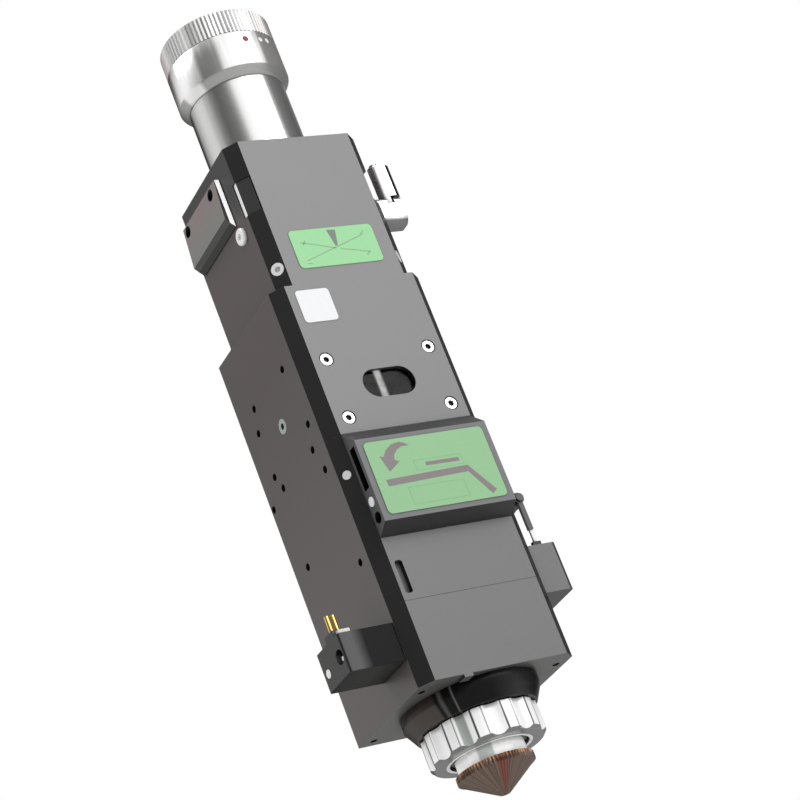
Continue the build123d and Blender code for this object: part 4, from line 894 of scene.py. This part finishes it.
# %% Mix the smoked window
dark_pane, tree, shader = new_material("smoked_glass", 0.0, 0.04, Transmission_Weight=1.0, IOR=1.2,
                                       Base_Color=rgb(0.30, 0.31, 0.31), Emission_Strength=1.0)
# Painted reflection: the pane glows in a ragged pale band.
low = place_group(tree, fade, Direction=right, From=-4.4 * MM, To=-3.7 * MM)
high = place_group(tree, fade, Direction=right, From=-0.7 * MM, To=-1.9 * MM)
reflected_stripe = maths(tree, "MULTIPLY", low.outputs["Mask"], high.outputs["Mask"])
ragged = add_node(tree, "ShaderNodeTexNoise", Scale=420.0, Detail=4.0)
tree.links.new(object_place(tree), ragged.inputs["Vector"])
reflected_stripe = maths(tree, "MULTIPLY", reflected_stripe, maths(tree, "MULTIPLY_ADD", ragged.outputs[0], 0.9, 0.2))
tree.links.new(mix_colours(tree, reflected_stripe, grey(0.0), rgb(0.42, 0.42, 0.41)),
               shader.inputs["Emission Color"])
print("Materials so far:", len(bpy.data.materials))

# %% [markdown]
# ## Dressing the CAD nodes
# Every node gets its finish by name. A loop that guessed the finish from the name would be
# shorter, but a plain table shows at a glance what each piece is made of.

# %% Give every node its finish
finishes = {
    "front_plate": plate_finish, "mid_front_cover": cover_plate_finish,
    "lower_front_cover": cover_plate_finish, "raised_cover": cover_finish,
    "main_body": body_finish, "upper_body": body_finish, "back_cover": body_finish,
    "upper_drawer": wedge_finish, "drawer_handle": handle_finish, "drawer_plate": edge_finish,
    "lock_bar": bar_finish, "sensor_body": sensor_finish, "catch_bracket": catch_finish,
    "catch_lever": catch_finish, "catch_pin": catch_finish, "window_tray": black_finish,
    "focus_carriage": black_finish, "centring_frame": black_finish, "collimator_cell": black_finish,
    "fibre_socket": collar_finish, "fibre_lock_ring": collar_finish, "collimator_tube": tube_finish,
    "lock_nut": nut_finish, "nozzle_holder": holder_finish, "nozzle": copper_finish,
    "flag_base": flag_base_finish, "flag_lever": flag_finish, "flag_pin": flag_finish,
    "cover_screws": plate_screw_finish, "side_screws": side_screw_finish,
    "strip_screw": strip_screw_finish, "channel_plugs": strip_screw_finish,
    "left_centring_screw": strip_screw_finish, "right_centring_screw": strip_screw_finish,
    "connector_screw": strip_screw_finish, "bracket_screws": dark_screw_finish,
    "handle_screws": dark_screw_finish, "guide_rods": screw_finish, "lead_screw": screw_finish,
    "index_screw": screw_finish, "lock_ring_circlip": screw_finish, "focus_motor": ground_finish,
    "focus_nut": brass_finish, "focus_lens_ring": brass_finish, "window_retainer": brass_finish,
    "connector_pins": gold_finish, "ceramic_ring": alumina, "connector_box": box_plastic,
    "motor_connector": moulded, "socket_insert": insulator, "window_seal": seal_rubber,
    "upper_label": upper_film, "cover_label": cover_film, "blank_label": white_film,
    "status_lamp": lamp_finish, "focus_window": dark_pane, "collimator_lens": pane_glass,
    "focus_lens": pane_glass, "upper_window": pane_glass, "protective_window": pane_glass,
}
for name, finish in finishes.items():
    for material_slot in nodes[name].material_slots:
        material_slot.material = finish
print("Nodes without a finish:", sorted(set(nodes) - set(finishes)))

# %% [markdown]
# ### Soft edges
# A deburred edge catches a thin line of light. Rounding it in the CAD model would cost many
# small faces. A Bevel modifier on the pieces that show it most does the same, and leaves the
# CAD mesh as it is.

# %% Soften the edges of the small pieces
WELD_REACH = 10 * MICRON
SHARPER_THAN = math.radians(32)
soft_edges = {
    "lock_nut": 0.35, "flag_base": 0.3, "sensor_body": 0.3, "fibre_socket": 0.3,
    "catch_bracket": 0.25, "flag_lever": 0.2, "nozzle_holder": 0.2,
}
for name, width in soft_edges.items():
    joined = nodes[name].modifiers.new("join_faces", "WELD")
    joined.merge_threshold = WELD_REACH
    edge = nodes[name].modifiers.new("soft_edge", "BEVEL")
    edge.width = width * MM
    edge.segments = 2
    edge.limit_method = "ANGLE"
    edge.angle_limit = SHARPER_THAN
    edge.harden_normals = True
print("Softened", len(soft_edges), "nodes")

# %% [markdown]
# ## Prints on the labels
# The labels show what a user may do there: a focused beam over a lens on the upper one, and a
# lever that swings down on the cover. As a picture they would blur. They are cut here as thin
# flat shapes that lie on the film, like screen-printed ink.

# %% Helpers that lay flat ink on a front face
INK = 0.04 * MM


def object_from(work, name, material):
    """Makes an object of the mesh that was drawn in work, with one finish."""
    mesh = bpy.data.meshes.new(name)
    work.to_mesh(mesh)
    work.free()
    mesh.materials.append(material)
    obj = bpy.data.objects.new(name, mesh)
    bpy.context.collection.objects.link(obj)
    return obj


def ink_shapes(name, outlines, face_y, material):
    """Flat shapes in (x, z) millimetres on a face at y, as thick as a film of ink."""
    work = bmesh.new()
    for outline in outlines:
        top, foot = [[work.verts.new((x * MM, y, z * MM)) for x, z in outline]
                     for y in (face_y * MM - INK, face_y * MM)]
        work.faces.new(top)
        work.faces.new(foot)
        for corner in range(len(outline)):
            work.faces.new((top[corner - 1], top[corner], foot[corner], foot[corner - 1]))
    bmesh.ops.recalc_face_normals(work, faces=work.faces)
    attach(object_from(work, name, material), "head")


print("Ink is", round(INK * 1000, 3), "mm thick")

# %% Helpers that draw bars and outlines


def bar(start, end, width):
    """The four corners of a straight bar of ink."""
    first, last = Vector(start), Vector(end)
    along = (last - first).normalized()
    side = Vector((-along.y, along.x)) * width / 2
    return [first - side, last - side, last + side, first + side]


def path_outline(points, width):
    """The outline of a bent bar along points: one side forwards, the other back."""
    forth, back = [], []
    for index, point in enumerate(points):
        before = Vector(points[max(index - 1, 0)])
        after = Vector(points[min(index + 1, len(points) - 1)])
        along = (after - before).normalized()
        side = Vector((-along.y, along.x)) * width / 2
        forth.append(Vector(point) + side)
        back.append(Vector(point) - side)
    return forth + back[::-1]


def frame_lines(x0, x1, z0, z1, width):
    """Four bars that make a rectangle's outline."""
    return [bar((x0, z0), (x1, z0), width), bar((x0, z1), (x1, z1), width),
            bar((x0, z0), (x0, z1), width), bar((x1, z0), (x1, z1), width)]


print("A bar has", len(bar((0, 0), (1, 0), 0.2)), "corners")

# %% Print the upper label
label_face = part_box("upper_label")[0][1] / MM
beam_shapes = [
    bar((-15.5, 235.4), (-0.6, 231.4), 0.45), bar((1.4, 230.9), (14.5, 228.0), 0.45),
    bar((-15.5, 226.6), (14.5, 236.6), 0.45),
    bar((-15.6, 225.2), (-13.6, 225.2), 0.5), bar((-14.9, 234.0), (-13.2, 236.2), 0.5),
    bar((12.6, 226.6), (14.9, 228.2), 0.5), bar((13.0, 236.6), (14.9, 238.0), 0.5),
]
ink_shapes("beam_pictogram", beam_shapes, label_face, beam_ink)
cone_shapes = [[(-1.8, 240.2), (2.3, 240.0), (0.9, 232.4), (-0.2, 232.4)]]
ink_shapes("beam_cone", cone_shapes, label_face, cone_ink)
print("Upper label shapes:", len(beam_shapes) + len(cone_shapes))

# %% Print the cover label
cover_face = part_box("cover_label")[0][1] / MM
swing_arrow = [
    (-20.3, 124.8), (-14.4, 128.6), (-16.4, 129.6), (-15.6, 131.8), (-13.7, 133.7), (-11.1, 134.9),
    (-7.7, 134.9), (-9.4, 136.2), (-11.8, 137.0), (-15.5, 136.3), (-18.7, 134.1), (-20.6, 131.4),
    (-22.3, 132.0),
]
lever_shapes = [
    swing_arrow,
    path_outline([(-23.2, 120.2), (14.2, 121.3), (22.2, 109.6)], 2.9),
    bar((-3.4, 125.9), (11.9, 125.8), 1.6),
]
ink_shapes("lever_pictogram", lever_shapes, cover_face, print_ink)
outline_shapes = (frame_lines(-15.0, 10.5, 109.6, 117.0, 0.2)
                  + frame_lines(-8.3, 13.4, 123.6, 128.0, 0.2))
ink_shapes("lever_outline", outline_shapes, cover_face, faint_ink)
print("Cover label shapes:", len(lever_shapes) + len(outline_shapes))

# %% [markdown]
# ## Marks on the collar
# A red dot and two white ones show how the fibre plug is turned home. A decal would need a
# picture. Each is a small disc whose rim is bent round the collar, a hair above its metal.

# %% Dot the collar
PAINT_LIFT = 0.03
DOT_CORNERS = 24


def round_mark(name, angle_deg, z, radius, on_radius, material):
    """A dot of paint on a collar: a disc bent round the beam axis."""
    work = bmesh.new()
    rim = []
    lifted = on_radius + PAINT_LIFT
    for step in range(DOT_CORNERS):
        turn_by = math.tau * step / DOT_CORNERS
        around = math.radians(angle_deg) + radius * math.cos(turn_by) / on_radius
        rim.append(work.verts.new((lifted * MM * math.cos(around), lifted * MM * math.sin(around),
                                   (z + radius * math.sin(turn_by)) * MM)))
    work.faces.new(rim)
    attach(object_from(work, name, material), "head")


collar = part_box("fibre_socket")[1][0] / MM
round_mark("red_dot", -89.6, 342.4, 1.35, collar, red_paint)
round_mark("white_dot_left", -71.4, 342.4, 1.1, collar, white_paint)
round_mark("white_dot_right", -61.4, 342.8, 1.2, collar, white_paint)
print("Collar radius:", round(collar, 1), "mm")

# %% [markdown]
# ## Studio
# The photo has a pure white ground. Strong lamps on a backdrop would wash out the object too.
# Here the world is white to the camera, to gloss and to glass, and softer to the object, so
# colours come out as they are written.

# %% Light the world
world = bpy.data.worlds.new("studio")
bpy.context.scene.world = world
world.use_nodes = True
tree = world.node_tree
tree.nodes.clear()
path = tree.nodes.new("ShaderNodeLightPath")
seen = maths(tree, "MAXIMUM", path.outputs["Is Camera Ray"],
             maths(tree, "MAXIMUM", path.outputs["Is Glossy Ray"],
                   path.outputs["Is Transmission Ray"]))
ambient = add_node(tree, "ShaderNodeBackground", Strength=0.62)
white = add_node(tree, "ShaderNodeBackground", Strength=1.0)
for ground in (ambient, white):
    ground.inputs["Color"].default_value = grey(1)
choice = tree.nodes.new("ShaderNodeMixShader")
out = tree.nodes.new("ShaderNodeOutputWorld")
tree.links.new(seen, choice.inputs[0])
tree.links.new(ambient.outputs[0], choice.inputs[1])
tree.links.new(white.outputs[0], choice.inputs[2])
tree.links.new(choice.outputs[0], out.inputs["Surface"])
print("World ambient:", ambient.inputs["Strength"].default_value)

# %% [markdown]
# ### Lamps
# One wide lamp stands at the right of the front, as in the photo, and one above the back lifts
# the top faces. Small bright lamps would give hard shadows, so both are large.

# %% Set up the lamps


def soft_lamp(name, place, aim, size, power):
    """A square area lamp that looks at a point."""
    light = bpy.data.lights.new(name, "AREA")
    light.shape = "SQUARE"
    light.size = size
    light.energy = power
    lamp = bpy.data.objects.new(name, light)
    lamp.location = place
    lamp.rotation_euler = (Vector(aim) - Vector(place)).to_track_quat("-Z", "Y").to_euler()
    bpy.context.collection.objects.link(lamp)


middle = (0, 0, 0.18)
soft_lamp("key", (0.45, -1.05, 0.85), middle, 1.0, 7.4)
soft_lamp("top", (-0.5, 0.4, 1.5), middle, 1.0, 8.0)
print("Lamps:", len(bpy.data.lights))

# %% [markdown]
# ### A wall that only gloss can see
# Bright metal shows what stands round it. A product studio puts up black and white cards. Here
# one round wall carries their tones, as angle in degrees and grey, and neither the camera nor
# the plain surfaces see it.

# %% Choose the wall's tones
wall_tones = [
    (0, 0.12), (10, 0.11), (22, 0.11), (32, 0.15), (42, 0.38), (58, 0.30), (66, 0.07), (80, 0.04),
    (92, 0.10), (104, 0.40), (122, 0.78), (134, 0.96), (144, 1.0), (156, 0.98), (170, 0.55),
    (182, 0.22), (196, 0.09), (210, 0.12), (224, 0.17), (234, 0.36), (244, 0.92), (252, 1.0),
    (312, 1.0), (320, 0.55), (328, 0.16), (344, 0.14), (359, 0.12),
]
print("Wall tones:", len(wall_tones), "from", min(tone for _, tone in wall_tones), "to 1")

# %% Stand the wall round the head
WALL_RADIUS = 1.6
WALL_FOOT = -1.2
WALL_TOP = 2.2
WALL_COLUMNS = 90
work = bmesh.new()
columns = []
for step in range(WALL_COLUMNS):
    around = math.tau * step / WALL_COLUMNS
    columns.append([work.verts.new((WALL_RADIUS * math.cos(around),
                                    WALL_RADIUS * math.sin(around), height))
                    for height in (WALL_FOOT, WALL_TOP)])
for near, next_on in zip(columns, columns[1:] + columns[:1]):
    work.faces.new((near[0], next_on[0], next_on[1], near[1]))
wall_paint = bpy.data.materials.new("wall")
wall = object_from(work, "wall", wall_paint)
print("The wall stands", WALL_RADIUS, "m from the axis")

# %% Paint the wall and hide it from all but gloss
wall_paint.use_nodes = True
tree = wall_paint.node_tree
tree.nodes.clear()
x, y = object_axes(tree)[:2]
turned_by = maths(tree, "DIVIDE", maths(tree, "ARCTAN2", y, x), math.tau)
turned_by = maths(tree, "FRACT", maths(tree, "ADD", turned_by, 1.0))
tones = tree.nodes.new("ShaderNodeValToRGB")
stops = tones.color_ramp.elements
while len(stops) < len(wall_tones):
    stops.new(0.5)
for stop, (degrees, tone) in zip(stops, wall_tones):
    stop.position = degrees / 360
    stop.color = grey(tone)
tree.links.new(turned_by, tones.inputs["Fac"])
glow = add_node(tree, "ShaderNodeEmission", Strength=1.0)
tree.links.new(tones.outputs[0], glow.inputs["Color"])
surface = tree.nodes.new("ShaderNodeOutputMaterial")
tree.links.new(glow.outputs[0], surface.inputs["Surface"])
wall.visible_camera = False
wall.visible_diffuse = False
wall.visible_shadow = False
wall.visible_transmission = False
print("Stops on the wall's ramp:", len(stops))

# %% [markdown]
# ### Floor
# The photo looks up at the head, so the floor isn't in its view, but other views need one. It is
# a plain pale sheet below the nozzle, and it keeps the object's shadow.

# %% Lay the floor
FLOOR_HEIGHT = -0.42
FLOOR_HALF = 4
work = bmesh.new()
work.faces.new([work.verts.new((x * FLOOR_HALF, y * FLOOR_HALF, FLOOR_HEIGHT))
                for x, y in ((-1, -1), (1, -1), (1, 1), (-1, 1))])
floor_paint, tree, shader = new_material("pale_floor", 0.0, 0.8)
shader.inputs["Base Color"].default_value = grey(0.86)
floor = object_from(work, "floor", floor_paint)
bpy.context.scene.view_settings.view_transform = "Standard"
print("Floor lies", -FLOOR_HEIGHT, "m under the nozzle tip")
